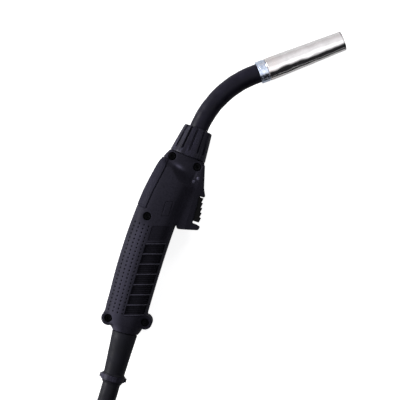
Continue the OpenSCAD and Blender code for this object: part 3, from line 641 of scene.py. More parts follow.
class TORCH_OT_studio(bpy.types.Operator):
    """Camera straight above the torch, soft lights, pale floor and world"""
    bl_idname = "torch.studio"
    bl_label = "Studio"

    # Where the camera looks, and how far it is turned about its line of sight
    middle = Vector((-0.00075, 0.01704, PLANE_Z))
    heading = -73.0
    sensor = 36.0
    # Lamps as the camera sees them: left of the torch, up from it, height above it, and side, in metres
    lamps = {"key_light": (1.7, 0.5, 0.52, 0.9), "fill_light": (-0.9, 1.2, 1.0, 0.5)}
    floor_half = 6.0
    # A patch of painted shade on the floor, seen only by mirrored rays, which the nozzle reflects:
    # millimetres along and beside the nozzle, and its fading edge
    shade_patch_place = (38, 190)
    shade_patch_edge = (0.145, 0.13)
    dark = (0.02, 0.02, 0.02, 1)
    floor_shine = 0.2
    # What mirrored rays see of the room: colours of its ceiling, of the part straight above, of the wall
    # behind and of the low part beyond, and the leans between which each of the last three fades in
    ceiling = (1.12, 1.11, 1.14, 1)
    room_parts = [((1.6, 1.59, 1.63, 1), -0.3, 0.05), ((0.75, 0.72, 0.74, 1), -0.6, -0.98),
                  ((0.02, 0.02, 0.022, 1), 0.36, 0.70)]
    lean_axis = (0.40, -0.92)
    room_fill = (0.16, 0.16, 0.17, 1)
    white = (1, 1, 1, 1)

    def area_light(self, name, power):
        left, up, height, size = self.lamps[name]
        data = bpy.data.lights.new(name, "AREA")
        data.shape = "SQUARE"
        data.size = size
        data.energy = power
        lamp = link(bpy.data.objects.new(name, data))
        turn = Matrix.Rotation(math.radians(self.heading), 3, "Z")
        lamp.location = self.middle + turn @ Vector((-left, up, height))
        lamp.rotation_euler = (self.middle - lamp.location).to_track_quat("-Z", "Y").to_euler()

    def floor(self, settings):
        material = bpy.data.materials.new(OWN + "floor")
        material.use_nodes = True
        tree = material.node_tree
        tree.nodes.clear()
        seen, glossy = clear_light(tree)
        ahead, aside = self.shade_patch_place
        shade_patch_middle = NOZZLE_BASE + ahead * heading_of(NOZZLE_HEADING) + aside * heading_of(NOZZLE_HEADING - 90)
        coords = put(tree, "ShaderNodeTexCoord").outputs["Object"]
        off = put(tree, "ShaderNodeVectorMath", {0: coords, 1: spot(*shade_patch_middle, 0)}, operation="DISTANCE")
        # Mirrored rays see the floor darker inside the patch: painted shade
        in_shade_patch = math_node(tree, "MULTIPLY", glossy, remap(tree, off.outputs["Value"], *self.shade_patch_edge))
        colour = mix_colour(tree, in_shade_patch, (*settings.floor_colour, 1), self.dark)
        diffuse = put(tree, "ShaderNodeBsdfDiffuse", {"Color": colour})
        shine = math_node(tree, "MULTIPLY", math_node(tree, "SUBTRACT", glossy, in_shade_patch), self.floor_shine)
        strength = math_node(tree, "MULTIPLY_ADD", seen, settings.floor_glow, shine)
        glow = put(tree, "ShaderNodeEmission", {"Color": self.white, "Strength": strength})
        both = put(tree, "ShaderNodeAddShader", {0: diffuse.outputs[0], 1: glow.outputs[0]})
        put(tree, "ShaderNodeOutputMaterial", {"Surface": both.outputs[0]})
        half = self.floor_half
        corners = [(-half, -half, 0), (half, -half, 0), (half, half, 0), (-half, half, 0)]
        floor = raw("floor", corners, [(0, 1, 2, 3)])
        placed(floor, Matrix.Identity(4), "floor", body=None)

    def world(self, scene):
        world = bpy.data.worlds.new("studio")
        scene.world = world
        world.use_nodes = True
        tree = world.node_tree
        tree.nodes.clear()
        seen, glossy = clear_light(tree)
        turned = put(tree, "ShaderNodeMapping", {
            "Vector": put(tree, "ShaderNodeTexCoord").outputs["Generated"],
            "Rotation": (0, 0, math.radians(-self.heading))}, vector_type="POINT")
        axes = put(tree, "ShaderNodeSeparateXYZ", {0: turned.outputs[0]}).outputs
        second = math_node(tree, "MULTIPLY", axes[1], self.lean_axis[1])
        lean = math_node(tree, "MULTIPLY_ADD", axes[0], self.lean_axis[0], second)
        room = self.ceiling
        for part, start, end in self.room_parts:
            room = mix_colour(tree, remap(tree, lean, start, end), room, part)
        colour = mix_colour(tree, seen, mix_colour(tree, glossy, self.room_fill, room), self.white)
        background = put(tree, "ShaderNodeBackground", {"Color": colour, "Strength": 1.0})
        put(tree, "ShaderNodeOutputWorld", {"Surface": background.outputs[0]})

    def execute(self, context):
        settings = context.scene.torch_studio
        data = bpy.data.cameras.new("camera")
        data.sensor_width = self.sensor
        data.lens = self.sensor * settings.camera_height / settings.frame_width
        camera = link(bpy.data.objects.new("camera", data))
        camera.location = self.middle + Vector((0, 0, settings.camera_height))
        camera.rotation_euler = (0, 0, math.radians(self.heading))
        context.scene.camera = camera
        context.scene.view_settings.view_transform = "Standard"
        self.area_light("key_light", settings.key_power)
        self.area_light("fill_light", settings.fill_power)
        self.floor(settings)
        self.world(context.scene)
        return {"FINISHED"}


class TORCH_OT_cable(bpy.types.Operator):
    """The power cable: a free run, a coil of four and a half turns, and the end at the plug"""
    bl_idname = "torch.cable"
    bl_label = "Cable"

    sides = 28
    carried = ("coil_straps", "grooved_boot", "plug_shell", "union_nut_grips")

    def execute(self, context):
        route = cable_path()
        cable = raw("power_cable", *sweep(route, CABLE_R, self.sides))
        placed(cable, Matrix.Identity(4), "cable_rubber", sharp=60)
        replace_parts(cable, "cable_run", "cable_coil", "cable_end")
        on_cable = [bpy.data.objects[name] for name in self.carried]
        return {"FINISHED"}


# ---- handle: x, y, heading of the section, half width, half thickness, squareness ----
GRIP_HALF = 18.5
SECTIONS = [
    (-12, 1.2, 3, 12.4, 12.4, 2.0), (-8, 2.4, 2, 15.2, 14.8, 2.1), (-3, 4.6, 1, 18.6, 17.2, 2.3),
    (5, 5.6, 0, 20.1, GRIP_HALF, 2.5), (20, 6.0, 0, 20.2, GRIP_HALF, 2.6),
    (45, 6.6, 0, 20.6, GRIP_HALF, 2.6), (75, 6.4, -1, 20.7, GRIP_HALF, 2.6),
    (100, 5.2, -4, 20.5, GRIP_HALF, 2.6), (120, 3.2, -8, 20.5, GRIP_HALF, 2.6),
    (136, 0.4, -11, 20.4, GRIP_HALF, 2.6), (147, -1.9, -11, 20.2, GRIP_HALF, 2.8),
    (153, -3.7, -9, 19.8, 13.8, 3.6), (159, -5.3, -7, 18.9, 13, 4), (164.5, -6.8, -5, 17.7, 13, 4)]
# How the sections swell past their half thickness, how the flat sides are domed, and the wall
CROWN = 1.06
DOME = 0.006
WALL = 2.6
# How far back the pod's nose is set on the trigger's side
NOSE_SET = 9
HOUSING_HALF = 12.0
HOUSING_DRAFT = 0.25
CAVITY_HALF = 9.0
SLOT_HALF = 7.5
HOUSING_FRONT = [
    (164.2, -24.4, 0.8), (140, -30.8, 6), (133.2, -34.0, 0.7), (131.7, -33.2, 0.5), (131.7, -28.6, 0.5),
    (105.3, -29.8, 0.6), (105.3, -33.0, 0.8), (104.2, -37.6, 0.8), (100.6, -37.0, 2), (98.4, -28, 10),
    (95.6, -15.6, 2.5)]
HOUSING_CAVITY = [
    (152, -5, 1), (152, -22.6, 1.5), (140.5, -27.6, 4), (136, -30.4, 2), (131, -30.6, 0.5),
    (131, -27.2, 0.5), (107, -27.4, 1.5), (101.8, -25.5, 1.5), (99.6, -6, 1)]
SLOT = [(131.7, -45, 0), (131.7, -24, 0), (106.2, -24, 0), (106.2, -45, 0)]
# Screws: x, y, height of the seat, height of the surface round it, radius of the boss below
SCREWS = [
    (160.3, 6.6, 9.2, 10.3, 3.3), (157.2, -18.8, 9.4, 11.5, 3.3), (99.5, 12.5, 14.6, 16.6, 4.0),
    (-2.6, 19.6, 9.6, 12.5, 6.9), (3.2, -14.4, 9.6, 12.5, 6.7)]
# Which of them are in the lugs, and the radius of the bosses round the others
LUGS = (3, 4)
BOSS_R = 4.9
# Radii of their holes, recesses and the shelves below, and the shelves' thickness
SCREW_HOLE = 1.85
RECESS_R = 3.9
SHELF_R = 4.6
SHELF_T = 1.4
# Nut pockets: half their width over the flats, and the ways that these face
NUT_FLAT = 3.55
NUT_FACINGS = np.radians((30, 90, 150))
# Bore for the sleeve, and rings round it: the split collar that the lock nut squeezes, and a bulkhead
SLEEVE_BORE = 9.12
BORE_ENDS = (-30, 40)
NECK_RINGS = ((-2.6, 15.0, 12.4), (-11.0, -8.0, 11.2))
# How far the shells stand back from their joint, and the step beside it
JOINT_GAP = 0.02
JOINT_STEP = 0.45
# Sunk panel on the side of the grip, and the ribs across it, which lean with the hand
PANEL_LEAN = math.tan(math.radians(17))
PANEL_Y = (-11.2, 6.2)
PANEL_REAR = 4.6
PANEL_PITCH = 9.98
PANEL_MARGIN = 1.0
PANEL_RIBS = 8
PANEL_DEPTH = 1.2
FIELD_X = (77.4, 91.6)
FIELD_Y = (-10.2, 5.2)
FIELD_DEPTH = 0.3
TAB_X = (101.5, 115.5)
TAB_Y = (-6.8, -0.2)
TAB_DEPTH = 0.35
# Stippled pits beside it
PIT_FROM = (5.6, 2.3)
PIT_PITCH = (3.7, 4.55)
PIT_COUNT = (24, 4)
PIT_R = 0.95
PIT_DEPTH = 0.7
# Two small pips on the trigger housing
PIPS = ((143.2, -19.6), (147.2, -22.6))
PIP_R = 1.5
PIP_HEIGHT = 0.6
# The fine moulding, with its painted shade and painted highlights, is on the shells' sides only, above this
# height
DETAIL_FROM = 6
# The inlay's pocket, along the handle and in degrees round the spine
INLAY_X = (105.0, 155.0)
INLAY_HALF = 64.0
INLAY_DEPTH = 1.25


def round_corners(points, steps=4):
    """A closed outline of x, y and corner radius, with its corners as arcs."""
    out = []
    for i, (x, y, r) in enumerate(points):
        here = Vector((x, y))
        if r <= 0:
            out.append(here)
            continue
        before = (Vector(points[i - 1][:2]) - here).normalized()
        after = (Vector(points[(i + 1) % len(points)][:2]) - here).normalized()
        half = before.angle(after) / 2
        centre = here + (before + after).normalized() * r / math.sin(half)
        start = here + before * r / math.tan(half) - centre
        end = here + after * r / math.tan(half) - centre
        turn = start.angle_signed(end)
        for k in range(steps + 1):
            out.append(centre + Matrix.Rotation(-turn * k / steps, 2) @ start)
    return np.array([tuple(p) for p in out])


SECTION_ROWS = smooth_line(SECTIONS, 8)
SECTION_ROWS[:, 4] = np.minimum(SECTION_ROWS[:, 4], GRIP_HALF)


def section_value(along, column):
    return np.interp(along, SECTION_ROWS[:, 0], SECTION_ROWS[:, column])


def section_coords(x, y):
    """How far along the handle's sections a point lies, and how far across, towards the spine."""
    along = x
    for _ in range(3):
        heading = np.radians(section_value(along, 2))
        across = (y - section_value(along, 1)) / np.cos(heading)
        along = x + np.sin(heading) * across
    return along, across


def most(first, *others):
    for other in others:
        first = np.maximum(first, other)
    return first


def smooth_max(a, b, k):
    h = np.clip(0.5 + 0.5 * (a - b) / k, 0, 1)
    return b + (a - b) * h + k * h * (1 - h)


def smooth_min(a, b, k):
    return -smooth_max(-a, -b, k)


def smooth_step(value, low, high):
    t = np.clip((value - low) / (high - low), 0, 1)
    return t * t * (3 - 2 * t)


def outline_distance(x, y, corners):
    """Signed distance to a closed outline, negative inside."""
    nearest = np.full(np.broadcast(x, y).shape, 1e9)
    inside = np.zeros(nearest.shape, bool)
    for (ax, ay), (bx, by) in zip(corners, np.roll(corners, -1, axis=0)):
        ex, ey = bx - ax, by - ay
        t = np.clip(((x - ax) * ex + (y - ay) * ey) / (ex * ex + ey * ey), 0, 1)
        nearest = np.minimum(nearest, (x - ax - t * ex) ** 2 + (y - ay - t * ey) ** 2)
        crosses = (ay > y) != (by > y)
        inside ^= crosses & (x < ax + (y - ay) * ex / (ey if ey else 1e-9))
    return np.where(inside, -1, 1) * np.sqrt(nearest)


def box_distance(x, y, x_ends, y_ends, corner):
    """Signed distance to an upright box with round corners."""
    dx, dy = (np.abs(value - (low + high) / 2) - (high - low) / 2 + corner
              for value, (low, high) in ((x, x_ends), (y, y_ends)))
    return np.hypot(np.maximum(dx, 0), np.maximum(dy, 0)) + np.minimum(np.maximum(dx, dy), 0) - corner


# The housing's root runs this far inside the grip's front edge
ROOT_INSET = 3.4
HOUSING_ROOT = [(x + math.sin(math.radians(h)) * (w - ROOT_INSET),
                 y - math.cos(math.radians(h)) * (w - ROOT_INSET))
                for x, y, h, w, _, _ in SECTION_ROWS[::4] if 94 < x < 158]
HOUSING_OUTLINE = np.vstack([HOUSING_ROOT, round_corners(HOUSING_FRONT)])
CAVITY_OUTLINE = round_corners(HOUSING_CAVITY)
SLOT_OUTLINE = round_corners(SLOT)


def pit_distance(along, across):
    """Distance to the middle of the nearest stippled pit."""
    offsets = []
    for value, start, pitch, count in zip((along, across), PIT_FROM, PIT_PITCH, PIT_COUNT):
        nearest = np.clip(np.round((value - start) / pitch), 0, count - 1)
        offsets.append(value - start - nearest * pitch)
    return np.hypot(*offsets)


def panel_x(x, y):
    return x - (PANEL_Y[1] - y) * PANEL_LEAN


def panel_edges(x, y):
    """Signed distances to the edges of the sunk panel, of the field past it and of the tab's outline."""
    lean_x = panel_x(x, y)
    panel_front = PANEL_REAR + PANEL_PITCH * (PANEL_RIBS - 1) + PANEL_MARGIN
    panel = ((PANEL_REAR - PANEL_MARGIN, panel_front), PANEL_Y, 1.2)
    boxes = (panel, (FIELD_X, FIELD_Y, 1.0), (TAB_X, TAB_Y, 0.8))
    return [box_distance(lean_x, y, *box) for box in boxes]


def sunk_detail(x, y, along, across):
    """How deep the shell's surface is sunk by its fine moulding, seen from its side."""
    panel, field, tab = panel_edges(x, y)
    pits = PIT_DEPTH * np.clip(1 - (pit_distance(along, across) / PIT_R) ** 2, 0, 1)
    pips = sum(PIP_HEIGHT * smooth_step(PIP_R - np.hypot(x - px, y - py), 0, 0.9) for px, py in PIPS)
    return (PANEL_DEPTH * smooth_step(-panel, -0.2, 0.2) + FIELD_DEPTH * smooth_step(-field, -0.2, 0.2)
            + TAB_DEPTH * smooth_step(-np.abs(tab), -0.45, -0.1) + pits - pips)


def painted_highlight_detail(x, y, along, across):
    """How much paler the shell is painted: a band of painted sheen over the stippled back, and painted
    highlights on the pod's nose and on the pips.
    """
    back = smooth_step(across, 0.5, 8) * (1 - smooth_step(across, 10, 17)) * (1 - smooth_step(along, 80, 100))
    nose = 1.9 * np.exp(-((x - 152.6 - 0.2 * (y + 2.0)) / 2.0) ** 2 - ((y + 2.0) / 5.0) ** 2)
    pips = sum(1.6 * smooth_step(2.0 - np.hypot(x - px, y - py), 0, 0.9) for px, py in PIPS)
    return np.maximum(0.85 * back, np.maximum(nose, pips))


def outside_distance(x, y, z):
    """Signed distances to the grip's skin, and to the whole outside with its housing and lugs."""
    along, across = section_coords(x, y)
    half_w, square = section_value(along, 3), section_value(along, 5)
    nose = along + NOSE_SET * smooth_step(-across, -7, 11) * smooth_step(along, 130, 144)
    half_t = section_value(nose, 4)
    u, v = np.abs(across) / half_w + 1e-4, np.abs(z) / (CROWN * half_t) + 1e-4
    size = (u ** square + v ** square) ** (1 / square)
    slope = np.hypot(u ** (square - 1) / half_w, v ** (square - 1) / (CROWN * half_t))
    slope = slope * size ** (1 - square)
    ends = np.maximum(SECTIONS[0][0] - along, along - SECTIONS[-1][0])
    skin = smooth_max((size - 1) / slope, np.abs(z) - half_t + DOME * across ** 2, 1.2)
    side_half = HOUSING_HALF - HOUSING_DRAFT * np.maximum(0, -24 - y)
    housing = smooth_max(outline_distance(x, y, HOUSING_OUTLINE), z - side_half, 1.2)
    outer = smooth_min(skin, housing, 1.6)
    for sx, sy, _, top, radius in (SCREWS[i] for i in LUGS):
        lug = smooth_max(np.hypot(x - sx, y - sy) - radius, z - top, 1.4)
        outer = smooth_min(outer, lug, 2.5)
    return skin, smooth_max(outer, ends, 0.5)


def shell_distance(x, y, z, nut_side):
    """Signed distance to one half shell, above its joint, in millimetres of the torch's plane."""
    along, across = section_coords(x, y)
    skin, rim = outside_distance(x, y, z)
    outer = rim
    for sx, sy, _, top, _ in SCREWS[:3]:
        boss = smooth_max(np.hypot(x - sx, y - sy) - BOSS_R, z - top, 0.5)
        outer = smooth_min(outer, boss, 0.8)
    outer = outer + sunk_detail(x, y, along, across) * (z > DETAIL_FROM)
    # The inlay's pocket over the spine, and a fine step along the joint between the shells
    reach = np.cos(math.radians(INLAY_HALF)) ** (2 / section_value(along, 5)) * section_value(along, 3)
    pocket = most(reach - across, -skin - INLAY_DEPTH, INLAY_X[0] - along, along - INLAY_X[1])
    outer = most(outer, -pocket, rim + JOINT_STEP - z)
    inner = np.maximum(skin + WALL, z - GRIP_HALF + WALL)
    shell = np.maximum(outer, -inner)
    nx, ny = x - NUT_BASE.x, y - NUT_BASE.y
    neck = heading_of(NECK_HEADING)
    ahead, aside = nx * neck.x + ny * neck.y, ny * neck.x - nx * neck.y
    round_neck = np.hypot(aside, z)
    for start, end, radius in NECK_RINGS:
        shell = np.minimum(shell, most(round_neck - radius, start - ahead, ahead - end))
    # Each screw's post, and a shelf that closes its recess from below where the post is narrow
    for sx, sy, seat, top, radius in SCREWS:
        off = np.hypot(x - sx, y - sy)
        shelf = np.maximum(off - max(radius, SHELF_R), seat - SHELF_T - z)
        shell = np.minimum(shell, most(np.minimum(off - radius, shelf), z - top, rim + 0.3))
    cavity = np.maximum(outline_distance(x, y, CAVITY_OUTLINE), z - CAVITY_HALF)
    slot = np.maximum(outline_distance(x, y, SLOT_OUTLINE), z - SLOT_HALF)
    bore = most(round_neck - SLEEVE_BORE, BORE_ENDS[0] - ahead, ahead - BORE_ENDS[1])
    shell = most(shell, -cavity, -slot, -bore)
    for sx, sy, seat, *_ in SCREWS:
        dx, dy = x - sx, y - sy
        off = np.hypot(dx, dy)
        pocket = off - RECESS_R
        if nut_side:
            flats = (np.abs(dx * math.cos(a) + dy * math.sin(a)) for a in NUT_FACINGS)
            pocket = most(*flats) - NUT_FLAT
        cut = np.minimum(smooth_max(pocket, seat - z, 0.3), off - SCREW_HOLE)
        shell = smooth_max(shell, -cut, 0.4)
    return np.maximum(shell, JOINT_GAP - z)


def surface_nets(field, origin, step):
    """Points and quads of a field's zero surface: one point a cell, at the mean of its edges' crossings."""
    cells = np.array(field.shape) - 1
    strides = np.array([cells[1] * cells[2], cells[2], 1])
    total = np.zeros((cells.prod(), 4))
    edges = []
    for axis in range(3):
        low = np.moveaxis(np.moveaxis(field, axis, 0)[:-1], 0, axis)
        high = np.moveaxis(np.moveaxis(field, axis, 0)[1:], 0, axis)
        at = np.argwhere((low < 0) != (high < 0))
        a, b = low[tuple(at.T)], high[tuple(at.T)]
        place = at.astype(float)
        place[:, axis] += a / (a - b)
        second, third = (axis + 1) % 3, (axis + 2) % 3
        corners = []
        for back in ((1, 1), (0, 1), (0, 0), (1, 0)):
            cell = at.copy()
            cell[:, second] -= back[0]
            cell[:, third] -= back[1]
            good = ((cell >= 0) & (cell < cells)).all(axis=1)
            index = np.where(good, cell @ strides, -1)
            corners.append(index)
            for k in range(3):
                total[:, k] += np.bincount(index[good], place[good, k], len(total))
            total[:, 3] += np.bincount(index[good], minlength=len(total))
        corners = np.array(corners).T
        keep = (corners >= 0).all(axis=1)
        corners, outward = corners[keep], (a < 0)[keep]
        edges.append(np.where(outward[:, None], corners, corners[:, ::-1]))
    used = total[:, 3] > 0
    number = np.cumsum(used) - 1
    points = total[used, :3] / total[used, 3:] * step + origin
    return points, number[np.vstack(edges)]


# Half the stretch over which a field's slope is measured, in millimetres
NUDGE = 0.04


def pull_to_surface(points, distance, limit, rounds=3):
    """Moves points onto a field's zero surface, down its slope."""
    for _ in range(rounds):
        here = distance(points)
        slope = np.zeros_like(points)
        for k in range(3):
            nudge = np.zeros(3)
            nudge[k] = NUDGE
            slope[:, k] = (distance(points + nudge) - distance(points - nudge)) / (2 * NUDGE)
        move = here / np.maximum((slope ** 2).sum(axis=1), 0.25)
        points = points - slope * np.clip(move, -limit, limit)[:, None]
    return points


class TORCH_OT_handle_shells(bpy.types.Operator):
    """Two moulded half shells with trigger housing, finger hook, panels, pits, recesses and nut pockets"""
    bl_idname = "torch.handle_shells"
    bl_label = "Handle Shells"

    low = np.array([-14.0, -40.0, -1.2])
    high = np.array([182.0, 30.0, 20.0])
    most_triangles = 190000
    # How near a pit's middle, a panel's edge and a screw the mesh is fine, and round both pips
    near_pit, near_edge, near_screw = 1.7, 1.4, 5.5
    near_pips = ((141, 149), (-24.5, -18))

    def fine_areas(self, points):
        """Where the moulding is finer than the first mesh: panels' edges, pits, recesses and pips."""
        x, y, z = points.T
        fine = pit_distance(*section_coords(x, y)) < self.near_pit
        for edge in panel_edges(x, y):
            fine |= np.abs(edge) < self.near_edge
        fine &= z > side_height(x, y) - 2
        for sx, sy, *_ in SCREWS:
            fine |= np.hypot(x - sx, y - sy) < self.near_screw
        (x_low, x_high), (y_low, y_high) = self.near_pips
        fine |= (x > x_low) & (x < x_high) & (y > y_low) & (y < y_high)
        return fine & (z > 8)

    def hidden(self, points):
        """Which points lie on the shell's inside, away from the recesses of the screws."""
        x, y, z = points.T
        inside = outside_distance(x, y, z)[1] < -1.7
        for sx, sy, *_ in SCREWS:
            inside &= np.hypot(x - sx, y - sy) > self.near_screw
        return inside

    def thin(self, shell, hidden):
        """Joins small faces of the hidden inside, so that the shell stays under its most triangles."""
        mesh = shell.data
        count = len(mesh.loops) - 2 * len(mesh.polygons)
        group = shell.vertex_groups.new(name="inside")
        group.add(np.flatnonzero(hidden).tolist(), 1.0, "REPLACE")
        thinning = shell.modifiers.new("thin", "DECIMATE")
        thinning.ratio = min(1.0, self.most_triangles / count)
        thinning.vertex_group = group.name
        graph = bpy.context.evaluated_depsgraph_get()
        mesh = bpy.data.meshes.new_from_object(shell.evaluated_get(graph), depsgraph=graph)
        shell.modifiers.remove(thinning)
        shell.vertex_groups.clear()
        shell.data = mesh
        return mesh

    def shell(self, name, settings, nut_side):
        def distance(p):
            return shell_distance(*p.T, nut_side)

        step = settings.mesh_step / MM
        axes = [np.arange(a, b, step) for a, b in zip(self.low, self.high)]
        x, y, z = np.meshgrid(*axes, indexing="ij", sparse=True)
        field = shell_distance(x, y, z, nut_side)
        points, faces = surface_nets(field, self.low, step)
        points = pull_to_surface(points, distance, step / 2)
        mesh = bpy.data.meshes.new(name)
        mesh.from_pydata(points.tolist(), [], faces.tolist())
        shape = bmesh.new()
        shape.from_mesh(mesh)
        shape.verts.ensure_lookup_table()
        fine = self.fine_areas(points)
        edges = [e for e in shape.edges if fine[e.verts[0].index] and fine[e.verts[1].index]]
        bmesh.ops.subdivide_edges(shape, edges=edges, cuts=1, use_grid_fill=True)
        bmesh.ops.triangulate(shape, faces=[f for f in shape.faces if len(f.verts) > 4])
        shape.to_mesh(mesh)
        shape.free()
        points = np.zeros(len(mesh.vertices) * 3)
        mesh.vertices.foreach_get("co", points)
        points = pull_to_surface(points.reshape(-1, 3), distance, step / 3)
        x, y, z = points.T
        along, across = section_coords(x, y)
        # Two attributes of the points: how deep the moulding is sunk, which the finish darkens as painted
        # shade, and the painted sheen and highlights
        for label, detail in (("sunk", sunk_detail), ("worn", painted_highlight_detail)):
            values = detail(x, y, along, across) * (z > DETAIL_FROM)
            shade = mesh.attributes.new(label, "FLOAT", "POINT")
            shade.data.foreach_set("value", values.astype(np.float32))
        hidden = self.hidden(points)
        if nut_side:
            points[:, 2] *= -1
            mesh.flip_normals()
        mesh.vertices.foreach_set("co", points.ravel())
        shell = link(bpy.data.objects.new(name, mesh))
        mesh = self.thin(shell, hidden)
        mesh.transform(TORCH)
        mesh.materials.append(coat("handle_plastic"))
        mesh.polygons.foreach_set("use_smooth", [True] * len(mesh.polygons))
        mesh.set_sharp_from_angle(angle=math.radians(38))
        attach(shell, "torch")
        return shell

    def execute(self, context):
        settings = context.scene.torch_handle
        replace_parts(self.shell("handle_left", settings, False), "handle_shell_left")
        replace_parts(self.shell("handle_right", settings, True), "handle_shell_right")
        return {"FINISHED"}


def side_height(x, y):
    """Height of the grip's side above the torch's plane, without its fine moulding."""
    along, across = section_coords(np.asarray(x, float), np.asarray(y, float))
    square = section_value(along, 5)
    half_t = section_value(along, 4)
    share = np.minimum(0.999, np.abs(across) / section_value(along, 3))
    return np.minimum(half_t - DOME * across ** 2, half_t * CROWN * (1 - share ** square) ** (1 / square))


class TORCH_OT_grip_ribs(bpy.types.Operator):
    """Bold ribs across the sunk grip panels, and fine lines between and beyond them"""
    bl_idname = "torch.grip_ribs"
    bl_label = "Grip Ribs"

    def lines(self, places, low, high, depth, side):
        points, edges = [], []
        for x in places:
            ys = np.linspace(low, high, 15)
            xs = x + (PANEL_Y[1] - ys) * PANEL_LEAN
            first = len(points)
            points.extend(zip(xs, ys, side * (side_height(xs, ys) - depth)))
            edges.extend((first + k, first + k + 1) for k in range(len(ys) - 1))
        return points, edges

    def rods(self, name, lines, radius, sides, finish):
        points, edges = lines
        obj = applied(raw(name, points, [], edges), self.tree, {
            "Radius": radius / MM, "Sides": sides, "Material": coat(finish)})
        placed(obj, TORCH, "handle_plastic", sharp=50, weld=0).data.materials[0] = coat(finish)

    def execute(self, context):
        settings = context.scene.torch_handle
        self.tree = rods_on_lines_tree()
        bold = PANEL_REAR + PANEL_PITCH * np.arange(PANEL_RIBS)
        shares = np.arange(1, settings.fine_lines + 1) / (settings.fine_lines + 1)
        fine = [x + PANEL_PITCH * share for x in bold[:-1] for share in shares]
        spacing = PANEL_PITCH / (settings.fine_lines + 1)
        field = np.arange(FIELD_X[0] + 1.6, FIELD_X[1] - 1, spacing)
        # The bold ribs take a paler copy of the plastic: painted highlights along them
        thick, thin = (settings.rib_radius, 10, "rubbed_plastic"), (settings.line_radius, 6, "handle_plastic")
        # Piece, places along the grip, its ends across it, how much shorter the lines are, depth, and rod
        sets = [("grip_ribs_", bold, PANEL_Y, -0.2, PANEL_DEPTH - 0.5, thick),
                ("grip_lines_", fine, PANEL_Y, 0.6, PANEL_DEPTH, thin),
                ("field_lines_", field, FIELD_Y, 0.7, FIELD_DEPTH, thin)]
        for label, side in (("left", 1), ("right", -1)):
            for name, places, (low, high), short, depth, rod in sets:
                self.rods(name + label, self.lines(places, low + short, high - short, depth, side), *rod)
        return {"FINISHED"}


class TORCH_OT_spine_strip(bpy.types.Operator):
    """Smooth strip let into the handle's back"""
    bl_idname = "torch.spine_strip"
    bl_label = "Spine Strip"

    reach = 62.3
    ends = (105.4, 154.6)

    def skin(self, along, angle, lift):
        """Points on the handle's spine, lifted off it."""
        centre, heading, half_w, half_t, square = (section_value(along, k) for k in range(1, 6))
        heading = np.radians(heading)

        def lobe(c):
            return np.sign(c) * np.abs(c) ** (2 / square)

        across = (half_w + lift) * lobe(np.cos(angle))
        flat = half_t - DOME * across ** 2 + lift
        z = np.clip((half_t + lift) * CROWN * lobe(np.sin(angle)), -flat, flat)
        return np.stack([along - np.sin(heading) * across, centre + np.cos(heading) * across, z], -1)

    def execute(self, context):
        rows, row = 90, 61
        along = np.linspace(*self.ends, rows)[:, None]
        angle = np.radians(np.linspace(-self.reach, self.reach, row))[None, :]
        along, angle = np.broadcast_arrays(along, angle)
        from_edge = np.minimum(np.minimum(along - self.ends[0], self.ends[1] - along),
                               (math.radians(self.reach) - np.abs(angle)) * 20)
        lift = 0.35 * smooth_step(from_edge, -0.1, 0.7) - 0.22 * np.exp(-((from_edge - 2.2) / 0.3) ** 2)
        outer, inner = self.skin(along, angle, lift), self.skin(along, angle, -1.2 + 0 * lift)
        around = [np.vstack([outer[i][::-1], inner[i]]) for i in range(rows)]
        faces = grid_faces(rows, 2 * row, wrap_row=True)
        last = (rows - 1) * 2 * row
        for j in range(row - 1):
            k = 2 * row - 1 - j
            faces.append((j, k, k - 1, j + 1))
            faces.append((last + j + 1, last + k - 1, last + k, last + j))
        strip = raw("spine_strip", np.vstack(around), faces)
        strip.data.flip_normals()
        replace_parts(placed(strip, TORCH, "inlay", sharp=40), "spine_inlay")
        return {"FINISHED"}


class TORCH_OT_screws(bpy.types.Operator):
    """Blackened socket screws in the handle's recesses"""
    bl_idname = "torch.screws"
    bl_label = "Handle Screws"

    head_r, shaft_r, socket, nut_t = 3.4, 1.75, 1.7, 3.0

    def part(self, name, profile, sides):
        obj = raw(name, *lathe(profile, sides, closed=False))
        join_doubles(obj.data, 0.001)
        obj.data.transform(Matrix.Rotation(math.radians(-90), 4, "Y"))
        return obj

    def execute(self, context):
        angles = np.degrees(np.arange(48) * 2 * math.pi / 48)
        hexagon = 1 / np.cos(np.radians((angles + 30) % 60 - 30))
        r = self.head_r
        head = self.part("screw_head", [
            (0, 0), (0, r), (1.55, r), (1.8, r - 0.12), (1.98, r - 0.4), (2.05, r - 0.8),
            (2.05, self.socket * hexagon + 0.25), (1.9, self.socket * hexagon), (0.7, self.socket * hexagon),
            (0.45, 0.8), (0.4, 0)], 48)
        shaft = self.part("screw_shaft", [
            (0, 0), (0, self.shaft_r), (0.985, self.shaft_r), (1, self.shaft_r - 0.3), (1, 0)], 24)
        tree = place_on_points_tree()
        made = []
        lengths = [2 * seat + self.nut_t for _, _, seat, *_ in SCREWS]
        for part, drops, scales in ((head, [0] * len(SCREWS), [1] * len(SCREWS)), (shaft, lengths, lengths)):
            seats = [(x, y, seat - drop) for (x, y, seat, *_), drop in zip(SCREWS, drops)]
            points = raw(part.name + "s", seats, [])
            stretch = points.data.attributes.new("stretch", "FLOAT_VECTOR", "POINT")
            stretch.data.foreach_set("vector", [v for scale in scales for v in (1, 1, scale)])
            made.append(applied(points, tree, {"Piece": part, "Material": coat("dark_steel")}))
        joined = bmesh.new()
        for obj in made:
            joined.from_mesh(obj.data)
        screws = raw("socket_screws", [], [])
        joined.to_mesh(screws.data)
        joined.free()
        for obj in made + [head, shaft]:
            bpy.data.objects.remove(obj)
        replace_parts(placed(screws, TORCH, "dark_steel", sharp=30, weld=0), "handle_screws")
        return {"FINISHED"}


class TORCH_OT_trigger(bpy.types.Operator):
    """Trigger lever with its finger teeth"""
    bl_idname = "torch.trigger"
    bl_label = "Trigger"

    def execute(self, context):
        width = context.scene.torch_handle.bevel
        softened("trigger_lever", "trigger", width, "trigger_plastic", "trigger")
        return {"FINISHED"}


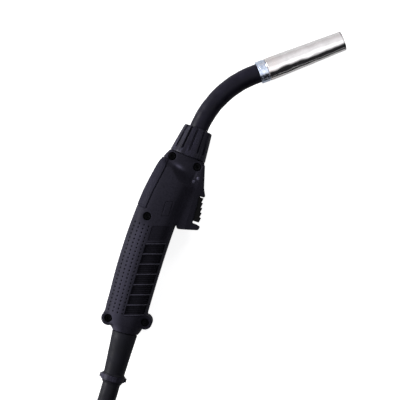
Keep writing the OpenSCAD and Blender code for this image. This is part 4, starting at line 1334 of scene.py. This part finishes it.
def neck_line(start, end):
    """The neck's middle line, from behind its straight to a place along the nozzle's axis."""
    ahead, across = heading_of(NECK_HEADING), heading_of(NOZZLE_HEADING)
    points = [NUT_BASE + s * ahead for s in np.linspace(start, STRAIGHT_LEN, 20).tolist()[:-1]]
    points += [BEND_CENTRE + BEND_RADIUS * heading_of(NECK_HEADING + 90 - a)
               for a in np.linspace(0, BEND_ANGLE, 60).tolist()[:-1]]
    points += [NOZZLE_BASE + s * across for s in np.linspace(-FRONT_LEN - COLLAR_LEN, end, 8).tolist()]
    return np.array([(p.x, p.y, 0) for p in points])


class TORCH_OT_neck(bpy.types.Operator):
    """Sleeved neck, ribbed lock nut and turned collar"""
    bl_idname = "torch.neck"
    bl_label = "Neck"

    tube_bore = 6.04
    sleeve_r, sleeve_swell = 8.85, 0.3
    # The sleeve's creases: height, length over a radian, and phase
    creases = ((0.05, 2.9, 0.4), (0.04, 1.7, 2.1), (0.035, 4.3, 1.2))

    def sleeve(self):
        path = neck_line(-12, 1.9 - COLLAR_LEN)
        along = np.concatenate([[0], np.cumsum(np.linalg.norm(np.diff(path, axis=0), axis=1))])
        total = along[-1]
        radii = self.sleeve_r + self.sleeve_swell * smooth_step(along, 30, total - 10)
        creases = sum(a * np.sin(along / length + phase) for a, length, phase in self.creases)
        radii = radii + creases * smooth_step(along, 30, 60) * smooth_step(total - along, 6, 22)
        radii = radii - 0.12 * smooth_step(along, total - 3.2, total - 2.2)
        sleeve = raw("sleeve", *sweep(path, radii, 56, bore=self.tube_bore))
        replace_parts(placed(sleeve, TORCH, "sleeve", sharp=50), "neck_sleeve")

    def lock_nut(self, settings):
        width, depth = settings.groove_width / MM, settings.groove_depth / MM

        def grooves(x, from_rib, edge):
            side = smooth_step(edge - from_rib, width / 2 - 0.28, width / 2 + 0.28)
            return -depth * (1 - side) * smooth_step(x, 4.4, 6.6)

        outside = [(0.4, 17.1, True), (0.55, 17.45, True), (0.9, 17.62, True)]
        outside += [(x, 17.7 - (x - 0.4) * 3.9 / 27.6, True) for x in np.linspace(1.5, 26.6, 44)]
        outside += [(27.3, 13.82, True), (27.75, 13.6, True), (28.0, 13.2, True)]
        inside = [(28.0, 11.6, False), (27.7, 11.2, False), (26.4, 11.0, False), (26.2, 9.6, False),
                  (25.9, 9.42, False), (16.4, 9.42, False), (16.0, 12.66, False), (0.7, 12.66, False),
                  (0.4, 12.9, False)]
        nut = raw("lock_nut_ribs", *sector(outside + inside, settings.nut_ribs, grooves))
        applied(nut, repeat_round_tree(), {"Count": settings.nut_ribs, "Material": coat("nut_plastic")})
        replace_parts(placed(nut, NECK, "nut_plastic", "lock_nut", sharp=40), "neck_lock_nut")

    def collar(self):
        profile = [(-9, 10.95, 0.3), (-7.7, 10.95, 0.15), (-7.5, 10.55, 0.1), (-6.9, 10.55, 0.1),
                   (-6.7, 10.9, 0.15), (-0.9, 10.9, 0.3), (0, 10.2, 0.2), (0, self.tube_bore, 0.1),
                   (-6.95, self.tube_bore, 0.1), (-7.0, 9.14, 0.1), (-9, 9.14, 0.2)]
        collar = raw("turned_collar", *lathe(round_corners(profile, 3), 96))
        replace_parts(placed(collar, NOZZLE, "zinc", sharp=28), "nozzle_collar")

    def execute(self, context):
        settings = context.scene.torch_neck
        self.sleeve()
        self.lock_nut(settings)
        self.collar()
        return {"FINISHED"}


class TORCH_OT_nozzle(bpy.types.Operator):
    """Polished gas nozzle, which pulls off forwards"""
    bl_idname = "torch.nozzle"
    bl_label = "Gas Nozzle"

    def execute(self, context):
        profile = [(0.1, 9.3, 0.1), (0.1, 11, 0.4), (9, 11, 12), (76.9, 9.5, 0.45), (76.9, 7.95, 0.35),
                   (40, 7.9, 8), (20, 8.6, 1), (18, 9.25, 0.4)]
        outline = round_corners(profile, 6)
        rows = []
        for a, b in zip(outline, np.roll(outline, -1, axis=0)):
            steps = max(1, int(np.linalg.norm(b - a) / 4))
            rows += [a + (b - a) * k / steps for k in range(steps)]
        nozzle = raw("nozzle", *lathe(rows, 128))
        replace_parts(placed(nozzle, NOZZLE, "nickel", "gas_nozzle", sharp=28), "gas_nozzle")
        return {"FINISHED"}


class TORCH_OT_boot(bpy.types.Operator):
    """Rubber boot where the cable leaves the handle, and the clamp round its bead"""
    bl_idname = "torch.boot"
    bl_label = "Cable Boot"

    def execute(self, context):
        profile = [(-50, 8.7, 0.3), (-50, 9.5, 0.4), (-48.5, 9.7, 0.5), (-47.7, 10.58, 0.4),
                   (-41.5, 10.58, 0.4), (-40.6, 9.95, 0.5), (-24, 10.75, 20), (-0.7, 12.1, 0.5),
                   (-0.7, 9.42, 0.2), (5, 9.42, 0.2), (5, 10.6, 0.3), (10, 10.6, 0.4), (10, 8.7, 0.3)]
        boot = raw("rubber_boot", *lathe(round_corners(profile, 4), 72))
        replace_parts(placed(boot, BOOT, "boot_rubber", sharp=34), "cable_boot")
        softened("boot_clamp", "clamp_band", 0.0003, "nut_plastic")
        return {"FINISHED"}


class TORCH_OT_straps(bpy.types.Operator):
    """Hook-and-loop bands that hold the coil together"""
    bl_idname = "torch.straps"
    bl_label = "Straps"

    # How far the band's outer and inner faces stand off the cable, and how much its edges sink, in metres
    gaps = (0.0014, 0.0007)
    sag = 0.00015
    columns = 9

    def band(self, width):
        """A closed band round the coil's outline: rows along it, each a thin loop across it."""
        low, top = LAYERS[0], LAYERS[1]
        arcs = [(INNER_TURN, low, 180, 270), (OUTER_TURN, low, 270, 360),
                (OUTER_TURN, LAYERS[2], 0, 135), (INNER_TURN, top, 135, 180)]
        line = []
        for i, (r, z, start, end) in enumerate(arcs):
            line += [(r, z, a) for a in np.linspace(start, end, 13)]
            nr, nz = arcs[(i + 1) % 4][:2]
            line += [(r + (nr - r) * k / 6, z + (nz - z) * k / 6, end) for k in range(1, 6)]
        across = np.linspace(-1, 1, self.columns)
        points = []
        for r, z, angle in line:
            out = heading_of(angle)
            for gap, run in zip(self.gaps, (across, across[::-1])):
                for c in run:
                    lift = CABLE_R + gap - self.sag * c * c
                    points.append((r + lift * out.x, c * width / 2, z + lift * out.y))
        return points, grid_faces(len(line), 2 * self.columns, wrap_rows=True, wrap_row=True)

    def execute(self, context):
        points, faces = self.band(context.scene.torch_cable.strap_width)
        points = np.array(points)
        every, all_faces = [], []
        for i, place in enumerate(STRAP_PLACES):
            turn = np.array(Matrix.Rotation(math.radians(place), 3, "Z"))
            every.append(points @ turn.T)
            all_faces += [tuple(k + i * len(points) for k in f) for f in faces]
        straps = raw("coil_straps", np.vstack(every), all_faces)
        at = COIL @ Matrix.Scale(1 / MM, 4)
        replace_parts(placed(straps, at, "strap", sharp=60), "cable_straps")
        return {"FINISHED"}


class TORCH_OT_plug(bpy.types.Operator):
    """Machine plug: grooved boot, moulded housing with finger flats, and union nut"""
    bl_idname = "torch.plug"
    bl_label = "Machine Plug"

    def boot(self):
        profile = [(0, 0, 0), (0, 9.4, 0.4), (3, 9.8, 0.2), (3.4, 11, 0.5), (6.4, 11, 0.5), (6.8, 10, 0.2),
                   (10, 10.3, 0.2), (10.4, 11.6, 0.5), (13.4, 11.6, 0.5), (13.8, 10.6, 0.2), (17, 10.9, 0.2),
                   (17.4, 12.4, 0.5), (20.4, 12.4, 0.5), (20.8, 11.4, 0.2), (26, 12, 0.1), (26, 0, 0)]
        boot = raw("grooved_boot", *lathe(round_corners(profile, 3), 64, closed=False))
        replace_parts(placed(boot, PLUG, "boot_rubber", sharp=34), "plug_boot")

    def union_nut(self, settings):
        def grips(x, from_rib, _):
            proud = 1 - smooth_step(from_rib, 2.7, 3.5)
            return proud * smooth_step(x, 67.2, 68.6) * (1 - smooth_step(x, 88.2, 89.6))

        outside = [(66.4, 21.2, True), (66.8, 21.8, True)]
        outside += [(x, 22.0, True) for x in np.linspace(67.2, 91.2, 40)]
        outside += [(91.7, 21.8, True), (92.0, 21.3, True)]
        inside = [(92.0, 19.7, False), (91.7, 19.42, False), (76.0, 19.42, False), (75.9, 15.52, False),
                  (66.4, 15.52, False)]
        nut = raw("union_nut_grips", *sector(outside + inside, settings.nut_grips, grips))
        applied(nut, repeat_round_tree(), {"Count": settings.nut_grips, "Material": coat("plug_plastic")})
        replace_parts(placed(nut, PLUG, "plug_plastic", "union_nut", sharp=40), "union_nut")

    def execute(self, context):
        self.boot()
        softened("plug_housing", "plug_shell", 0.0005, "plug_plastic")
        self.union_nut(context.scene.torch_cable)
        return {"FINISHED"}


class TORCH_OT_finishes(bpy.types.Operator):
    """Every material of the torch, and the frame's own solids that keep their shapes"""
    bl_idname = "torch.finishes"
    bl_label = "Finishes"

    def execute(self, context):
        scene = context.scene
        handle, neck, cable = scene.torch_handle, scene.torch_neck, scene.torch_cable
        moulded_finish("handle_plastic", handle.plastic, 0.58, shine=0.03)
        # A paler copy of the shells' plastic for the bold ribs: painted highlights
        moulded_finish("rubbed_plastic", shade_of(handle.plastic, 1.9), 0.45, shine=0.12)
        moulded_finish("inlay", handle.inlay, 0.55, depth=0.00002, shine=0.02)
        moulded_finish("trigger_plastic", handle.trigger, 0.3, depth=0.00001, shine=0.05)
        nut_finish("nut_plastic", neck.nut)
        moulded_finish("plug_plastic", cable.plug, 0.4)
        moulded_finish("switch_plastic", (0.03, 0.03, 0.034), 0.45)
        moulded_finish("plunger_plastic", (0.35, 0.03, 0.02), 0.35)
        moulded_finish("lead_sheath", (0.05, 0.05, 0.06), 0.4)
        rubber_finish("sleeve", neck.sleeve, 0.4, 0.00025)
        rubber_finish("boot_rubber", cable.boot, 0.55)
        rubber_finish("cable_rubber", cable.jacket, 0.42)
        nickel_finish("nickel", neck.nickel)
        zinc_finish("zinc", neck.zinc)
        metal_finish("copper", (0.74, 0.40, 0.25), 0.28, 0.7)
        metal_finish("brass", (0.78, 0.60, 0.30), 0.25, 0.75)
        metal_finish("steel", (0.58, 0.58, 0.60), 0.3, 0.75)
        metal_finish("dark_steel", handle.screw, 0.55, 0.6, 0.002)
        fired_finish("ceramic", (0.80, 0.76, 0.67))
        fired_finish("insulator", (0.16, 0.09, 0.06))
        strap_finish("strap", cable.strap)
        for name, nodes in KEPT_SOLIDS.items():
            for node in nodes:
                mesh = frame["nodes"][node].data
                mesh.materials.clear()
                mesh.materials.append(coat(name))
        return {"FINISHED"}


class TORCH_PT_sidebar(bpy.types.Panel):
    """Sizes, colours and pieces of the torch"""
    bl_idname = "TORCH_PT_sidebar"
    bl_label = "MIG Welding Torch"
    bl_space_type = "VIEW_3D"
    bl_region_type = "UI"
    bl_category = "Torch"

    def draw(self, context):
        for group in SETTINGS:
            box = self.layout.box()
            settings = getattr(context.scene, group)
            for key in settings.bl_rna.properties.keys():
                if key not in ("rna_type", "name"):
                    box.prop(settings, key)
        for step in STEPS:
            self.layout.operator(step.bl_idname)


SETTINGS = {"torch_studio": StudioSettings, "torch_handle": HandleSettings, "torch_neck": NeckSettings,
            "torch_cable": CableSettings}
STEPS = [TORCH_OT_finishes, TORCH_OT_studio, TORCH_OT_handle_shells, TORCH_OT_grip_ribs, TORCH_OT_spine_strip,
         TORCH_OT_screws, TORCH_OT_trigger, TORCH_OT_neck, TORCH_OT_nozzle, TORCH_OT_boot, TORCH_OT_straps,
         TORCH_OT_plug, TORCH_OT_cable]


def register():
    for c in [*SETTINGS.values(), *STEPS, TORCH_PT_sidebar]:
        bpy.utils.register_class(c)
    for group, kind in SETTINGS.items():
        setattr(bpy.types.Scene, group, PointerProperty(type=kind))


def unregister():
    for group in SETTINGS:
        delattr(bpy.types.Scene, group)
    for c in reversed([*SETTINGS.values(), *STEPS, TORCH_PT_sidebar]):
        bpy.utils.unregister_class(c)


def main():
    register()
    for o in list(bpy.data.objects):
        if o.type in ("CAMERA", "LIGHT"):
            bpy.data.objects.remove(o)
    for step in STEPS:
        getattr(bpy.ops.torch, step.bl_idname.split(".")[1])()


if __name__ == "__main__":
    main()
